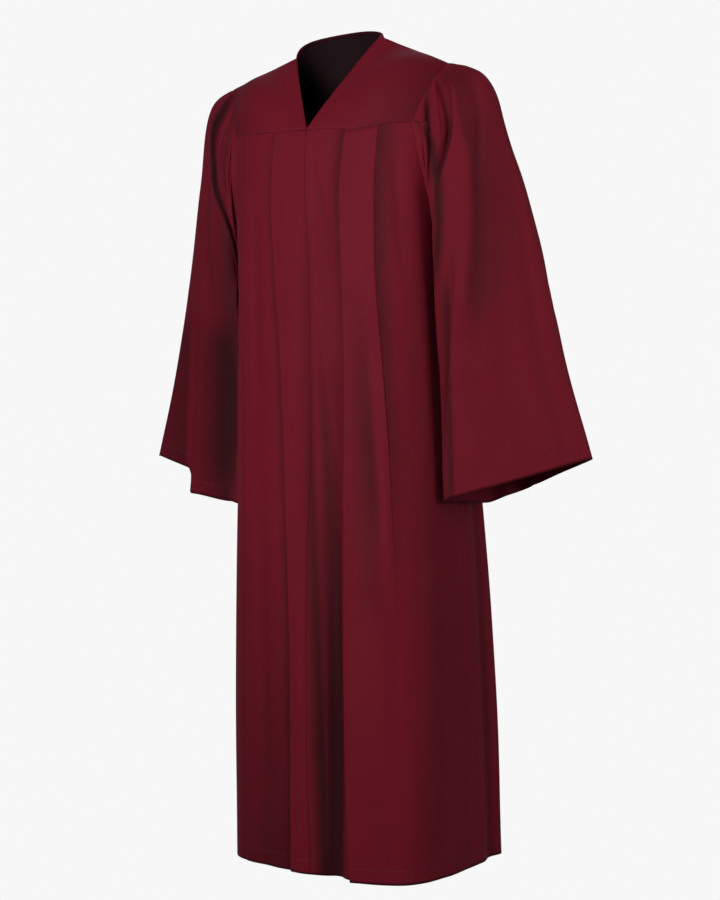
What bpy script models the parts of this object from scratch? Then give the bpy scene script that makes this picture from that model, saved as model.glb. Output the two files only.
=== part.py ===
"""Graduation gown, worn: yoke, pleated fronts, fluted back and bell sleeves as thin cloth walls.

Metres, +Z up. The origin lies midway between the side neck points, where the wearer's shoulders
hold the gown. +X is the wearer's left and -Y the wearer's front. A drop is a distance below the
origin, and a girth is a distance round the body from the middle of its front, to the wearer's
left. Each cut piece is a grid of points on a smooth form, moved out or in by its folds.
"""
import bmesh
import bpy
import numpy as np


def table(names, *rows):
    """A short table: one array for each named column, one row for each section or fold."""
    return dict(zip(names.split(), np.array(rows, dtype=float).T))


# Heights, as drops below the side neck points
YOKE_DROP = 0.142
BACK_YOKE_DROP = 0.150
ARMPIT_DROP = 0.335
HEM_DROP = 1.295

# Cloth and seams
CLOTH = 0.0018
SEAM_GAP = 0.0003
ARMHOLE_GAP = 0.0005  # wider, because the cloth twists along this curved seam
CLOTH_RED = (0.130, 0.009, 0.016, 1)
CLOTH_ROUGHNESS = 0.62
SHARP_ANGLE = 1.0
PLEAT_EDGE = 0.004
SEAM_FADE = 0.030  # folds flatten out over this distance from a seam

# Neck and shoulders
NECK_HALF = 0.0825
NECK_BACK = 0.053
NECK_RISE = 0.032
NECK_FULLNESS = 0.7
NECK_SHIFT = 0.007
NECK_DROP = {"left": 0.0, "right": 0.008}
SHOULDER_TIP = {"left": (0.199, 0.010, -0.046), "right": (-0.216, 0.006, -0.042)}

# Level sections of the body, which grow deeper and squarer towards the hem
BODY = table(
    "drop  centre  half_width front  back  front_square back_square",
    (0.142, 0.000, 0.200, -0.083, 0.118, 2.4, 2.6),
    (0.220, 0.000, 0.194, -0.093, 0.135, 2.5, 2.6),
    (0.335, 0.001, 0.184, -0.097, 0.150, 2.8, 2.6),
    (0.500, 0.003, 0.179, -0.101, 0.176, 3.2, 2.6),
    (0.720, 0.005, 0.182, -0.102, 0.212, 3.4, 2.8),
    (1.000, 0.007, 0.186, -0.099, 0.241, 3.5, 2.9),
    (1.295, 0.009, 0.190, -0.094, 0.257, 3.7, 2.8),
)

# How far the armhole's edge stops short of the side seam, along the front and the back
ARMHOLE = table(
    "drop  front  back",
    (0.142, 0.072, 0.066),
    (0.200, 0.062, 0.056),
    (0.260, 0.042, 0.040),
    (0.305, 0.020, 0.020),
    (0.335, 0.000, 0.000),
)

# Long pleats and folds of the fronts: girth and depth at five drops. The upper layer lies to the
# wearer's left of an edge whose side is 1 and to the right where it is -1; a side of 0 is a soft
# roll. The spreads are how far the fold's two flanks reach.
FOLD_DROPS = (0.142, 0.370, 0.620, 0.950, 1.295)
FOLD_LEVELS = ("yoke", "chest", "hip", "knee", "hem")
FOLDS = table(
    "yoke chest hip knee hem  side left_spread right_spread"
    "  deep_yoke deep_chest deep_hip deep_knee deep_hem",
    (-0.060, -0.053, -0.040, -0.033, -0.039, 1, 0.030, 0.050, 0.004, 0.007, 0.008, 0.011, 0.012),
    (0.068, 0.074, 0.073, 0.065, 0.072, 1, 0.045, 0.045, 0.004, 0.006, 0.010, 0.018, 0.019),
    (0.121, 0.138, 0.150, 0.152, 0.152, -1, 0.040, 0.025, 0.004, 0.008, 0.008, 0.003, 0.000),
    (-0.122, -0.122, -0.124, -0.126, -0.128, 1, 0.030, 0.030, 0.002, 0.004, 0.004, 0.003, 0.002),
    (0.226, 0.226, 0.226, 0.204, 0.196, 0, 0.014, 0.050, 0.000, 0.000, 0.000, 0.006, 0.007),
)
CLOSURE = (0.000, 0.014, 0.018, 0.008, 0.008)


def smooth_curve(at, knots, values):
    """Smooth curve through values, or whole points, that are given at rising knots."""
    at = np.atleast_1d(np.asarray(at, dtype=float))
    knots = np.asarray(knots, dtype=float)
    values = np.asarray(values, dtype=float)
    shape = (-1,) + (1,) * (values.ndim - 1)
    widths = np.diff(knots).reshape(shape)
    chords = np.diff(values, axis=0) / widths
    slopes = np.empty_like(values)
    slopes[0] = chords[0]
    slopes[-1] = chords[-1]
    slopes[1:-1] = (widths[1:] * chords[:-1] + widths[:-1] * chords[1:]) / (widths[:-1] + widths[1:])
    span = np.clip(np.searchsorted(knots, at, side="right") - 1, 0, len(knots) - 2)
    width = widths[span]
    t = ((at - knots[span]) / np.diff(knots)[span]).reshape(shape)
    rise = values[span + 1] - values[span]
    start = slopes[span] * width
    end = slopes[span + 1] * width
    return values[span] + t * (start + t * (3 * rise - 2 * start - end + t * (start + end - 2 * rise)))


def unit(vectors):
    """The same directions with length 1."""
    return vectors / np.maximum(np.linalg.norm(vectors, axis=-1, keepdims=True), 1e-9)


def ease(at, width):
    """Rises smoothly from 0 at zero to 1 at the width."""
    t = np.clip(np.asarray(at, dtype=float) / width, 0, 1)
    return t * t * (3 - 2 * t)


# The body: level outlines, and places on them by girth
ROUND = np.radians(np.linspace(-180.0, 180.0, 721))


def section(drop):
    """The body's level outline at a drop: x, y, the girth there and the girth of the side seams."""
    size = {name: smooth_curve(drop, BODY["drop"], BODY[name])[0] for name in BODY}
    depth = (size["back"] - size["front"]) / 2
    square = np.where(np.cos(ROUND) > 0, size["front_square"], size["back_square"])
    across = np.abs(np.sin(ROUND) / size["half_width"]) ** square
    along = np.abs(np.cos(ROUND) / depth) ** square
    reach = (across + along) ** (-1 / square)
    x = size["centre"] + reach * np.sin(ROUND)
    y = (size["front"] + size["back"]) / 2 - reach * np.cos(ROUND)
    girth = np.concatenate([[0], np.cumsum(np.hypot(np.diff(x), np.diff(y)))])
    girth -= np.interp(0.0, ROUND, girth)
    sides = np.interp(np.radians([-90, 90]), ROUND, girth)
    return x, y, girth, sides


def armhole_edges(drop):
    """Girths where the fronts and the back end at this drop, as (right, left) pairs."""
    sides = section(drop)[3]
    short_front = np.interp(drop, ARMHOLE["drop"], ARMHOLE["front"])
    short_back = np.interp(drop, ARMHOLE["drop"], ARMHOLE["back"])
    inward = np.array([1, -1])
    return sides + inward * short_front, sides - inward * short_back


def body_row(drop, girths):
    """Points of the smooth body at one drop, with their level outward normals."""
    x, y, girth = section(drop)[:3]
    whole = girth[-1] - girth[0]
    step = 0.002
    before, at, after = (
        [np.interp(girths + shift, girth, values, period=whole) for values in (x, y)]
        for shift in (-step, 0, step)
    )
    level = np.zeros(len(girths))
    points = np.stack([*at, level - drop], axis=-1)
    normals = np.stack([after[1] - before[1], before[0] - after[0], level], axis=-1)
    return points, unit(normals)


def fold_height(from_edge, depth, side, left_spread, right_spread):
    """How far cloth stands out at a distance to the wearer's left of a fold's line."""
    if side == 0:
        return depth * np.exp(-((from_edge / np.where(from_edge > 0, left_spread, right_spread)) ** 2))
    upper = ease(side * from_edge / PLEAT_EDGE + 0.5, 1.0)
    left = np.exp(-np.abs(from_edge) / left_spread)
    right = np.exp(-np.abs(from_edge) / right_spread)
    fall = np.where(from_edge > 0, left, right)
    return depth * fall * (upper - 0.5)


def fold_value(drop, fold, kind=""):
    """A body fold's girth at a drop, or its depth there where the kind is deep_."""
    return smooth_curve(drop, FOLD_DROPS, [FOLDS[kind + level][fold] for level in FOLD_LEVELS])[0]


def body_folds(drop, girths):
    """How far the pleats and rolls of the body's front push the cloth out at one drop."""
    out = np.zeros(len(girths))
    for fold, side in enumerate(FOLDS["side"]):
        spreads = FOLDS["left_spread"][fold], FOLDS["right_spread"][fold]
        from_line = girths - fold_value(drop, fold)
        out += fold_height(from_line, fold_value(drop, fold, "deep_"), side, *spreads)
    return out


def shoulder_seam(side, along):
    """Points of a shoulder seam, from the side neck point to the shoulder tip."""
    sign = 1 if side == "left" else -1
    neck = np.array([sign * NECK_HALF, 0.0, -NECK_DROP[side]])
    tip = np.array(SHOULDER_TIP[side])
    return neck + np.asarray(along)[:, None] * (tip - neck)


# How strongly a yoke's arch leaves the shoulder seam, and how strongly it meets the panel below
ARCH_START = 5.0
ARCH_END = 3.5


def arched(top, bottom, lean, bulges, rows):
    """A patch between two rows of points, arched outwards over the shoulder."""
    t = np.linspace(0, 1, rows)[:, None, None]
    chord = bottom - top
    arch = bulges[:, None] * np.array(lean)
    start = chord + ARCH_START * arch
    end = chord - ARCH_END * arch
    return top + t * (start + t * (3 * chord - 2 * start - end + t * (start + end - 2 * chord)))


def grid_normals(points, outward):
    """Normals of a grid, turned the way that the outward vectors mostly point."""
    normals = unit(np.cross(np.gradient(points, axis=0), np.gradient(points, axis=1)))
    return normals * np.sign(np.sum(normals * outward))


def panel_girths(lines, counts):
    """Girths of a panel's columns: even between the lines, with one each side of a pleat's edge."""
    columns = []
    last = len(counts) - 1
    for i, count in enumerate(counts):
        start = lines[i] + (0 if i == 0 else np.sign(lines[i + 1] - lines[i]) * PLEAT_EDGE / 2)
        end = lines[i + 1] - (0 if i == last else np.sign(lines[i + 1] - lines[i]) * PLEAT_EDGE / 2)
        columns.append(np.linspace(start, end, count))
    return np.concatenate(columns)


# Rows down the body: from the yoke seam to the armpit, and on to the hem
ARMHOLE_ROWS = 6
SKIRT_ROWS = 15
YOKE_ROWS = 6


def row_drops(start):
    """Drops of a panel's rows from its yoke seam to the hem."""
    upper = np.linspace(start, ARMPIT_DROP, ARMHOLE_ROWS)
    lower = np.linspace(ARMPIT_DROP, HEM_DROP, SKIRT_ROWS + 1)
    return np.concatenate([upper, lower[1:]])


# Columns of a front between its closure, its two pleats (rows of FOLDS) and its outer edge, and
# how far its yoke seam rises towards the armhole
FRONT_COUNTS = (6, 6, 9)
FRONT_PLEATS = {"left": (1, 2), "right": (0, 3)}
YOKE_LIFT = {"left": 0.0, "right": 0.008}


def front_panel(side):
    """A front: its grid of points and normals, from the closure to the armhole and side seam."""
    points = []
    normals = []
    pick = 1 if side == "left" else 0
    for drop in row_drops(YOKE_DROP):
        edge = armhole_edges(drop)[0][pick]
        closure = smooth_curve(drop, FOLD_DROPS, CLOSURE)[0]
        pleats = [fold_value(drop, fold) for fold in FRONT_PLEATS[side]]
        girths = panel_girths([closure, *pleats, edge], FRONT_COUNTS)
        row, outward = body_row(drop, girths)
        fade = ease(drop - YOKE_DROP, SEAM_FADE) * ease(np.abs(girths - edge), SEAM_FADE)
        row = row + outward * (body_folds(drop, girths) * fade)[:, None]
        across = (girths - closure) / (edge - closure)
        lift = YOKE_LIFT[side] * across * (1 - ease(drop - YOKE_DROP, ARMPIT_DROP - YOKE_DROP))
        row[:, 2] += lift
        points.append(row)
        normals.append(outward)
    return np.array(points), np.array(normals)


YOKE_BULGE = table("across  deep", (0.0, 0.003), (0.2, 0.010), (0.55, 0.022), (1.0, 0.007))
YOKE_LEAN = (0, -0.8, 0.6)


def front_yoke(side, seam, seam_normals):
    """Half of the front yoke, above the top row of its front panel."""
    reach = np.abs(seam[:, 0] - seam[0, 0]) / np.abs(seam[-1, 0] - seam[0, 0])
    top = shoulder_seam(side, reach)
    bulges = np.interp(reach, YOKE_BULGE["across"], YOKE_BULGE["deep"])
    points = arched(top, seam, YOKE_LEAN, bulges, YOKE_ROWS)
    normals = grid_normals(points, np.array(YOKE_LEAN))
    normals[-1] = seam_normals
    return points, normals


# Columns of the back: beside the neck on each side, and below the neck, which spans this share of
# the back. The cloth gathered under the back yoke falls in flutes.
BACK_COUNTS = (11, 20, 11)
NECK_SHARE = 0.45
FLUTES = 9
FLUTE_DEPTH = table("drop  deep", (0.150, 0.002), (0.335, 0.005), (0.72, 0.009), (1.295, 0.014))


def back_panel():
    """The back: a grid from the wearer's left edge round to the right one."""
    points = []
    normals = []
    for drop in row_drops(BACK_YOKE_DROP):
        girth = section(drop)[2]
        half = (girth[-1] - girth[0]) / 2
        right, left = armhole_edges(drop)[1]
        start = left - half
        end = right + half
        columns = panel_girths([start, start * NECK_SHARE, end * NECK_SHARE, end], BACK_COUNTS)
        row, outward = body_row(drop, columns + half)
        across = np.where(columns < 0, -columns / start, columns / end)
        wave = np.cos(np.pi * FLUTES * across) * (1 - across**6)
        deep = smooth_curve(drop, FLUTE_DEPTH["drop"], FLUTE_DEPTH["deep"])[0]
        fade = ease(drop - BACK_YOKE_DROP, SEAM_FADE)
        row = row + outward * (wave * deep * fade)[:, None]
        points.append(row)
        normals.append(outward)
    return np.array(points), np.array(normals)


BACK_BULGE = table("across  deep", (0.0, 0.008), (0.45, 0.012), (0.7, 0.022), (1.0, 0.010))
BACK_YOKE_LEAN = (0, 0.8, 0.6)


def back_yoke(seam, seam_normals):
    """The back yoke in one piece, above the top row of the back."""
    reach = (seam[:, 0] - seam[:, 0].mean()) / np.ptp(seam[:, 0]) * 2
    at_neck = np.abs(seam[BACK_COUNTS[0], 0] - seam[:, 0].mean()) / np.ptp(seam[:, 0]) * 2
    top = np.empty_like(seam)
    for i, across in enumerate(reach):
        side = "left" if across > 0 else "right"
        if abs(across) >= at_neck:
            top[i] = shoulder_seam(side, [(abs(across) - at_neck) / (1 - at_neck)])[0]
        else:
            turn = np.pi / 2 * (1 - abs(across) / at_neck)
            drop = NECK_DROP[side] * (1 - np.sin(turn)) ** 3
            top[i] = (
                np.sign(across) * NECK_HALF * np.cos(turn) - NECK_SHIFT * np.sin(turn),
                NECK_BACK * np.sin(turn),
                NECK_RISE * np.sin(turn) ** NECK_FULLNESS - drop,
            )
    bulges = np.interp(np.abs(reach), BACK_BULGE["across"], BACK_BULGE["deep"])
    points = arched(top, seam, BACK_YOKE_LEAN, bulges, YOKE_ROWS)
    normals = grid_normals(points, np.array(BACK_YOKE_LEAN))
    normals[-1] = seam_normals
    return points, normals


# Sleeves. A section has four corners: the front one beside the body, the outer one, the back one
# and the inner one beside the body. Out is the distance from the gown's middle.
SLEEVE_FRONT = {
    "left": table(
        "along  front_out front_y front_drop  outer_out outer_y outer_drop  front_bulge",
        (0.10, 0.186, -0.036, 0.215, 0.252, 0.012, 0.066, 0.022),
        (0.30, 0.197, -0.030, 0.300, 0.296, 0.038, 0.200, 0.036),
        (0.55, 0.196, -0.016, 0.420, 0.339, 0.060, 0.375, 0.028),
        (0.78, 0.197, -0.005, 0.560, 0.366, 0.078, 0.520, 0.014),
        (1.00, 0.203, 0.000, 0.715, 0.400, 0.095, 0.651, 0.002),
    ),
    "right": table(
        "along  front_out front_y front_drop  outer_out outer_y outer_drop  front_bulge",
        (0.10, 0.186, -0.036, 0.215, 0.251, 0.002, 0.062, 0.022),
        (0.30, 0.197, -0.030, 0.300, 0.282, 0.006, 0.190, 0.030),
        (0.55, 0.196, -0.016, 0.420, 0.318, 0.012, 0.375, 0.018),
        (0.78, 0.199, -0.005, 0.560, 0.357, 0.018, 0.520, 0.008),
        (1.00, 0.206, 0.000, 0.730, 0.405, 0.030, 0.654, 0.002),
    ),
}
SLEEVE_BACK = {
    "left": table(
        "back_out back_y back_drop  inner_out inner_y inner_drop  back_bulge pit_sag",
        (0.215, 0.120, 0.140, 0.187, 0.120, 0.270, 0.006, 0.130),
        (0.240, 0.140, 0.250, 0.197, 0.130, 0.350, 0.010, 0.105),
        (0.252, 0.150, 0.400, 0.200, 0.132, 0.460, 0.008, 0.075),
        (0.256, 0.154, 0.552, 0.204, 0.126, 0.586, 0.006, 0.030),
        (0.258, 0.154, 0.700, 0.208, 0.118, 0.722, 0.002, 0.000),
    ),
    "right": table(
        "back_out back_y back_drop  inner_out inner_y inner_drop  back_bulge pit_sag",
        (0.215, 0.120, 0.140, 0.187, 0.120, 0.270, 0.010, 0.130),
        (0.250, 0.135, 0.250, 0.197, 0.130, 0.350, 0.010, 0.105),
        (0.262, 0.140, 0.400, 0.200, 0.132, 0.460, 0.010, 0.075),
        (0.275, 0.140, 0.555, 0.204, 0.128, 0.580, 0.008, 0.030),
        (0.290, 0.140, 0.690, 0.209, 0.122, 0.722, 0.006, 0.000),
    ),
}
SLEEVE = {side: {**SLEEVE_FRONT[side], **SLEEVE_BACK[side]} for side in SLEEVE_FRONT}
CORNERS = ("outer", "front", "inner", "back")
BULGES = ("front_bulge", "", "back_bulge", "")

# Folds of the sleeves. Turns go round a sleeve: 0 at the shoulder tip and outer fold, 2 at the
# front corner, 4 at the inner corner and 6 at the back one. The upper layer lies past the line
# where the side is 1 and short of it where it is -1.
SLEEVE_FOLDS = {
    "left": table(
        "head middle cuff  side  short_spread past_spread  deep_head deep_middle deep_cuff  ends",
        (0.30, 1.62, 1.95, -1, 0.030, 0.030, 0.012, 0.010, 0.000, 0.62),
        (0.78, 1.25, 1.50, 0, 0.006, 0.009, -0.009, -0.004, 0.000, 0.45),
        (1.15, 1.55, 1.80, 0, 0.008, 0.008, -0.006, -0.002, 0.000, 0.35),
        (0.55, 0.95, 1.10, 0, 0.010, 0.012, -0.004, -0.003, -0.002, 0.80),
        (7.70, 7.55, 7.40, 0, 0.012, 0.012, -0.006, -0.004, 0.000, 0.60),
        (7.25, 7.05, 6.80, 0, 0.010, 0.010, -0.007, -0.005, -0.003, 0.80),
        (6.75, 6.50, 6.30, 0, 0.010, 0.010, -0.007, -0.006, -0.004, 1.00),
        (6.25, 5.90, 5.60, 0, 0.010, 0.012, -0.006, -0.005, -0.003, 0.80),
    ),
    "right": table(
        "head middle cuff  side  short_spread past_spread  deep_head deep_middle deep_cuff  ends",
        (0.35, 1.60, 1.95, -1, 0.030, 0.030, 0.013, 0.011, 0.000, 0.66),
        (0.85, 1.25, 1.50, 0, 0.007, 0.008, -0.008, -0.004, 0.000, 0.45),
        (1.20, 1.55, 1.80, 0, 0.008, 0.008, -0.006, -0.002, 0.000, 0.35),
        (0.60, 0.90, 1.02, 1, 0.035, 0.040, 0.000, 0.003, 0.013, 1.20),
        (7.75, 7.60, 7.45, 0, 0.012, 0.012, -0.006, -0.004, 0.000, 0.60),
        (7.25, 7.10, 6.95, 0, 0.010, 0.010, -0.007, -0.006, -0.003, 0.90),
        (6.75, 6.40, 6.20, 0, 0.010, 0.010, -0.007, -0.006, -0.004, 1.00),
        (6.20, 5.85, 5.50, 0, 0.010, 0.012, -0.006, -0.005, -0.003, 0.80),
    ),
}
FOLD_KNOTS = (0, 0.45, 1)
GATHER_START = 0.06  # share of the sleeve over which its gathers open below the armhole
FOLD_END = 0.20  # share of the sleeve over which a fold dies out

# Turns where the armhole's rim leaves the front yoke and comes back to the back yoke
YOKE_TURNS = 1.5
BACK_YOKE_TURNS = 5.3

# Rows down a sleeve, a little closer together at the head, and extra columns beside each gather
SLEEVE_ROWS = 17
ROW_CROWDING = 1.2
GATHER_TURN = 0.12
SLEEVE_CLEARANCE = 0.0085
CLEARANCE_START = 0.03
ARMHOLE_TILT = (0, 0, -0.25)
NORMAL_SMOOTHING = 3

# The right cuff hangs lower inside a fold than outside it
CUFF_STEP = {"left": 0.0, "right": 0.020}
CUFF_STEP_START = 0.6
CUFF_STEP_TURN = 0.96
CUFF_STEP_WIDTH = 0.24


def sleeve_sections(side):
    """Eight points round each sleeve section: the corners and the middles between them."""
    sizes = SLEEVE[side]
    sign = 1 if side == "left" else -1
    corners = [
        np.stack([sign * sizes[name + "_out"], sizes[name + "_y"], -sizes[name + "_drop"]], axis=-1)
        for name in CORNERS
    ]
    loops = []
    for i, corner in enumerate(corners):
        after = corners[(i + 1) % 4]
        loops.append(corner)
        chord = unit(after - corner)
        outward = np.stack([sign * -chord[:, 1], sign * chord[:, 0], 0 * chord[:, 0]], axis=-1)
        bulge = sizes[BULGES[i]] if BULGES[i] else 0 * sizes["along"]
        middle = (corner + after) / 2 + outward * bulge[:, None]
        if CORNERS[i] == "front":
            middle[:, 2] -= sizes["pit_sag"]
        loops.append(middle)
    return np.stack(loops, axis=1)


def round_sleeve(sections, columns):
    """Points of closed sections at the given turns, smooth through each section's eight points."""
    wrapped = np.concatenate([sections[:, -2:], sections, sections[:, :3]], axis=1)
    return np.stack([smooth_curve(columns, np.arange(-2, 11), loop) for loop in wrapped])


def sleeve_rows(side, rim_turns, rim):
    """A sleeve's smooth rows, from the armhole to the cuff, with the turns of its columns."""
    gathers = SLEEVE_FOLDS[side]["head"]
    columns = np.concatenate([rim_turns, gathers, gathers - GATHER_TURN, gathers + GATHER_TURN])
    columns = np.unique(np.round(columns % 8, 3))
    head = np.stack([np.interp(columns, rim_turns, rim[:, i], period=8) for i in range(3)], axis=-1)
    loops = np.concatenate([head[None], round_sleeve(sleeve_sections(side), columns)])
    along = np.linspace(0, 1, SLEEVE_ROWS) ** ROW_CROWDING
    points = smooth_curve(along, [0, *SLEEVE[side]["along"]], loops)
    step = 2 * ease(columns - CUFF_STEP_TURN + CUFF_STEP_WIDTH / 2, CUFF_STEP_WIDTH) - 1
    near = np.clip(1 - np.abs(columns - CUFF_STEP_TURN), 0, 1)
    low = ease(along - CUFF_STEP_START, 1 - CUFF_STEP_START)
    points[..., 2] -= CUFF_STEP[side] * low[:, None] * (step * near)[None]
    return columns, along, points


def ring_normals(points):
    """Outward normals of a grid whose columns close into rings."""
    around = np.concatenate([points[:, -1:], points, points[:, :1]], axis=1)
    outward = points - points.mean(axis=1, keepdims=True)
    sides = np.concatenate([outward[:, -1:], outward, outward[:, :1]], axis=1)
    return grid_normals(around, sides)[:, 1:-1]


def sleeve_folds(side, columns, along, points):
    """How far a sleeve's gathers and folds push its cloth out."""
    folds = SLEEVE_FOLDS[side]
    levels = ("head", "middle", "cuff")
    out = np.zeros(points.shape[:2])
    for row, at in enumerate(along):
        ring = np.concatenate([points[row], points[row, :1]])
        walk = np.concatenate([[0], np.cumsum(np.linalg.norm(np.diff(ring, axis=0), axis=1))])
        places = np.concatenate([columns, [columns[0] + 8]])
        for i in range(len(folds["side"])):
            turn = smooth_curve(at, FOLD_KNOTS, [folds[level][i] for level in levels])[0]
            deep = smooth_curve(at, FOLD_KNOTS, [folds["deep_" + level][i] for level in levels])[0]
            deep *= ease(at, GATHER_START) * (1 - ease(at - folds["ends"][i] + FOLD_END, FOLD_END))
            past = walk[:-1] - np.interp((turn - columns[0]) % 8 + columns[0], places, walk)
            past = (past + walk[-1] / 2) % walk[-1] - walk[-1] / 2
            spreads = folds["past_spread"][i], folds["short_spread"][i]
            out[row] += fold_height(past, deep, folds["side"][i], *spreads)
    return out


def clear_of_body(side, points, along):
    """Sleeve points moved out, where they need it, so that the sleeve hangs just clear of the body."""
    sign = 1 if side == "left" else -1
    drops = np.maximum(-points[..., 2].ravel(), YOKE_DROP)
    size = {name: smooth_curve(drops, BODY["drop"], BODY[name]) for name in BODY}
    middle = (size["front"] + size["back"]) / 2
    from_middle = points[..., 1].ravel() - middle
    square = np.where(from_middle < 0, size["front_square"], size["back_square"])
    deep = np.minimum(np.abs(from_middle) / (size["back"] - middle), 1)
    body_side = sign * size["centre"] + size["half_width"] * (1 - deep**square) ** (1 / square)
    wanted = body_side.reshape(points.shape[:2]) + SLEEVE_CLEARANCE * ease(along, CLEARANCE_START)[:, None]
    beside = (-points[..., 2] > YOKE_DROP) & (deep < 1).reshape(points.shape[:2])
    push = np.where(beside, np.maximum(wanted - sign * points[..., 0], 0), 0)
    push[0] = 0
    moved = points.copy()
    moved[..., 0] += sign * push
    return moved


def trimmed(points, push, gap=SEAM_GAP):
    """An edge drawn back by half a seam's gap."""
    return points + unit(push) * gap / 2


# Where each panel's rows meet the armhole's rim, which runs from the shoulder tip down the front
# to the armpit and up the back
RIM_YOKE = np.arange(YOKE_ROWS)
RIM_FRONT = np.arange(YOKE_ROWS - 1, YOKE_ROWS + ARMHOLE_ROWS - 1)
RIM_BACK = RIM_FRONT[-1] + np.arange(ARMHOLE_ROWS)[::-1]
RIM_REAR = (RIM_BACK[0] + np.arange(YOKE_ROWS)[::-1]) % (2 * (YOKE_ROWS + ARMHOLE_ROWS) - 4)


def join_sleeve(side, yoke, front, back, rear):
    """The sleeve's grid, with the body's and its own edges trimmed along their shared armhole."""
    sign = 1 if side == "left" else -1
    edge = 0 if side == "left" else -1
    borders = (
        (RIM_REAR, rear, slice(None), edge),
        (RIM_BACK, back, slice(0, ARMHOLE_ROWS), edge),
        (RIM_FRONT, front, slice(0, ARMHOLE_ROWS), -1),
        (RIM_YOKE, yoke, slice(None), -1),
    )
    count = RIM_REAR[1] + 1
    rim = np.zeros((count, 3))
    body_normals = np.zeros((count, 3))
    for places, (points, normals), rows, column in borders:
        rim[places] = points[rows, column]
        body_normals[places] = normals[rows, column]
    turns = np.zeros(count)
    turns[RIM_YOKE] = np.linspace(0, YOKE_TURNS, YOKE_ROWS)
    turns[RIM_FRONT] = np.linspace(YOKE_TURNS, 3, ARMHOLE_ROWS)
    turns[RIM_BACK[::-1]] = np.linspace(3, BACK_YOKE_TURNS, ARMHOLE_ROWS)
    turns[RIM_REAR[:0:-1]] = np.linspace(BACK_YOKE_TURNS, 8, YOKE_ROWS)[:-1]

    columns, along, points = sleeve_rows(side, turns, rim)
    normals = ring_normals(points)
    own = np.stack([np.interp(turns, columns, normals[0, :, i], period=8) for i in range(3)], axis=-1)
    shared = unit(body_normals + own + np.array(ARMHOLE_TILT))
    for _ in range(NORMAL_SMOOTHING):
        shared = unit(np.roll(shared, 1, axis=0) + 2 * shared + np.roll(shared, -1, axis=0))
    tangents = np.roll(rim, -1, axis=0) - np.roll(rim, 1, axis=0)
    inward = unit(np.cross(tangents, shared))
    inward *= np.where(inward[:, :1] * sign > 0, -1, 1)
    for places, (body_points, body_normal), rows, column in borders:
        body_points[rows, column] = trimmed(rim[places], inward[places], ARMHOLE_GAP)
        body_normal[rows, column] = shared[places]

    points = points + normals * sleeve_folds(side, columns, along, points)[..., None]
    points = clear_of_body(side, points, along)
    for i in range(3):
        normals[0, :, i] = np.interp(columns, turns, shared[:, i], period=8)
    back_off = np.stack([np.interp(columns, turns, inward[:, i], period=8) for i in range(3)], axis=-1)
    points[0] -= back_off * ARMHOLE_GAP / 2
    return points, normals


def cloth_material(name):
    """Dark red polyester with a low sheen."""
    material = bpy.data.materials.new(name + "_cloth")
    material.use_nodes = True
    shader = material.node_tree.nodes["Principled BSDF"]
    shader.inputs["Base Color"].default_value = CLOTH_RED
    shader.inputs["Roughness"].default_value = CLOTH_ROUGHNESS
    shader.inputs["Metallic"].default_value = 0.0
    return material


def cloth_wall(name, points, normals, collection, closed=False):
    """A piece of cloth as a thin closed wall, from its outer points and their normals."""
    rows, columns = points.shape[:2]
    outer = points.reshape(-1, 3)
    inner = outer - CLOTH * normals.reshape(-1, 3)
    half = len(outer)
    spans = columns if closed else columns - 1
    faces = []
    for r in range(rows - 1):
        for c in range(spans):
            a = r * columns + c
            b = r * columns + (c + 1) % columns
            faces.append((a, a + columns, b + columns, b))
            faces.append((half + b, half + b + columns, half + a + columns, half + a))
    for c in range(spans):
        for row in (0, rows - 1):
            a = row * columns + c
            b = row * columns + (c + 1) % columns
            faces.append((a, b, half + b, half + a))
    if not closed:
        for r in range(rows - 1):
            for a in (r * columns, (r + 1) * columns - 1):
                faces.append((a, a + columns, half + a + columns, half + a))
    mesh = bpy.data.meshes.new(name)
    mesh.from_pydata(np.concatenate([outer, inner]).tolist(), [], faces)
    work = bmesh.new()
    work.from_mesh(mesh)
    bmesh.ops.recalc_face_normals(work, faces=work.faces)
    work.to_mesh(mesh)
    work.free()
    mesh.shade_smooth()
    mesh.set_sharp_from_angle(angle=SHARP_ANGLE)
    mesh.materials.append(cloth_material(name))
    piece = bpy.data.objects.new(name, mesh)
    collection.objects.link(piece)
    return piece


def join_straight_seams(yokes, fronts, back, rear):
    """Shared normals and trimmed edges at the shoulder, yoke, side and front seams."""
    level = np.array([0, 0, 1.0])
    ahead = np.array([0, -1.0, 0])
    below = ARMHOLE_ROWS - 1
    for side, sign, first, edge in (("left", 1, 0, 0), ("right", -1, None, -1)):
        yoke, yoke_normals = yokes[side]
        front, front_normals = fronts[side]
        slope = shoulder_seam(side, [0, 1])
        across = slope[1] - slope[0]
        upward = unit(np.cross(across, ahead)) * sign
        yoke_normals[0] = upward
        yoke[0] = trimmed(yoke[0], ahead)
        count = BACK_COUNTS[0] + 1
        on_shoulder = slice(0, count) if side == "left" else slice(-count, None)
        rear[1][0, on_shoulder] = upward
        rear[0][0, on_shoulder] = trimmed(rear[0][0, on_shoulder], -ahead)
        yoke[-1] = trimmed(yoke[-1], level)
        yoke[-1, 0] = trimmed(yoke[-1, 0], np.array([sign, 0, 0]))
        front[0] = trimmed(front[0], -level)
        front[:, 0] = trimmed(front[:, 0], -sign * np.cross(front_normals[:, 0], level))
        front[below:, -1] = trimmed(front[below:, -1], sign * np.cross(front_normals[below:, -1], level))
        back[0][below:, edge] = trimmed(
            back[0][below:, edge], -sign * np.cross(back[1][below:, edge], level)
        )
    rear[0][-1] = trimmed(rear[0][-1], level)
    back[0][0] = trimmed(back[0][0], -level)


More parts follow.
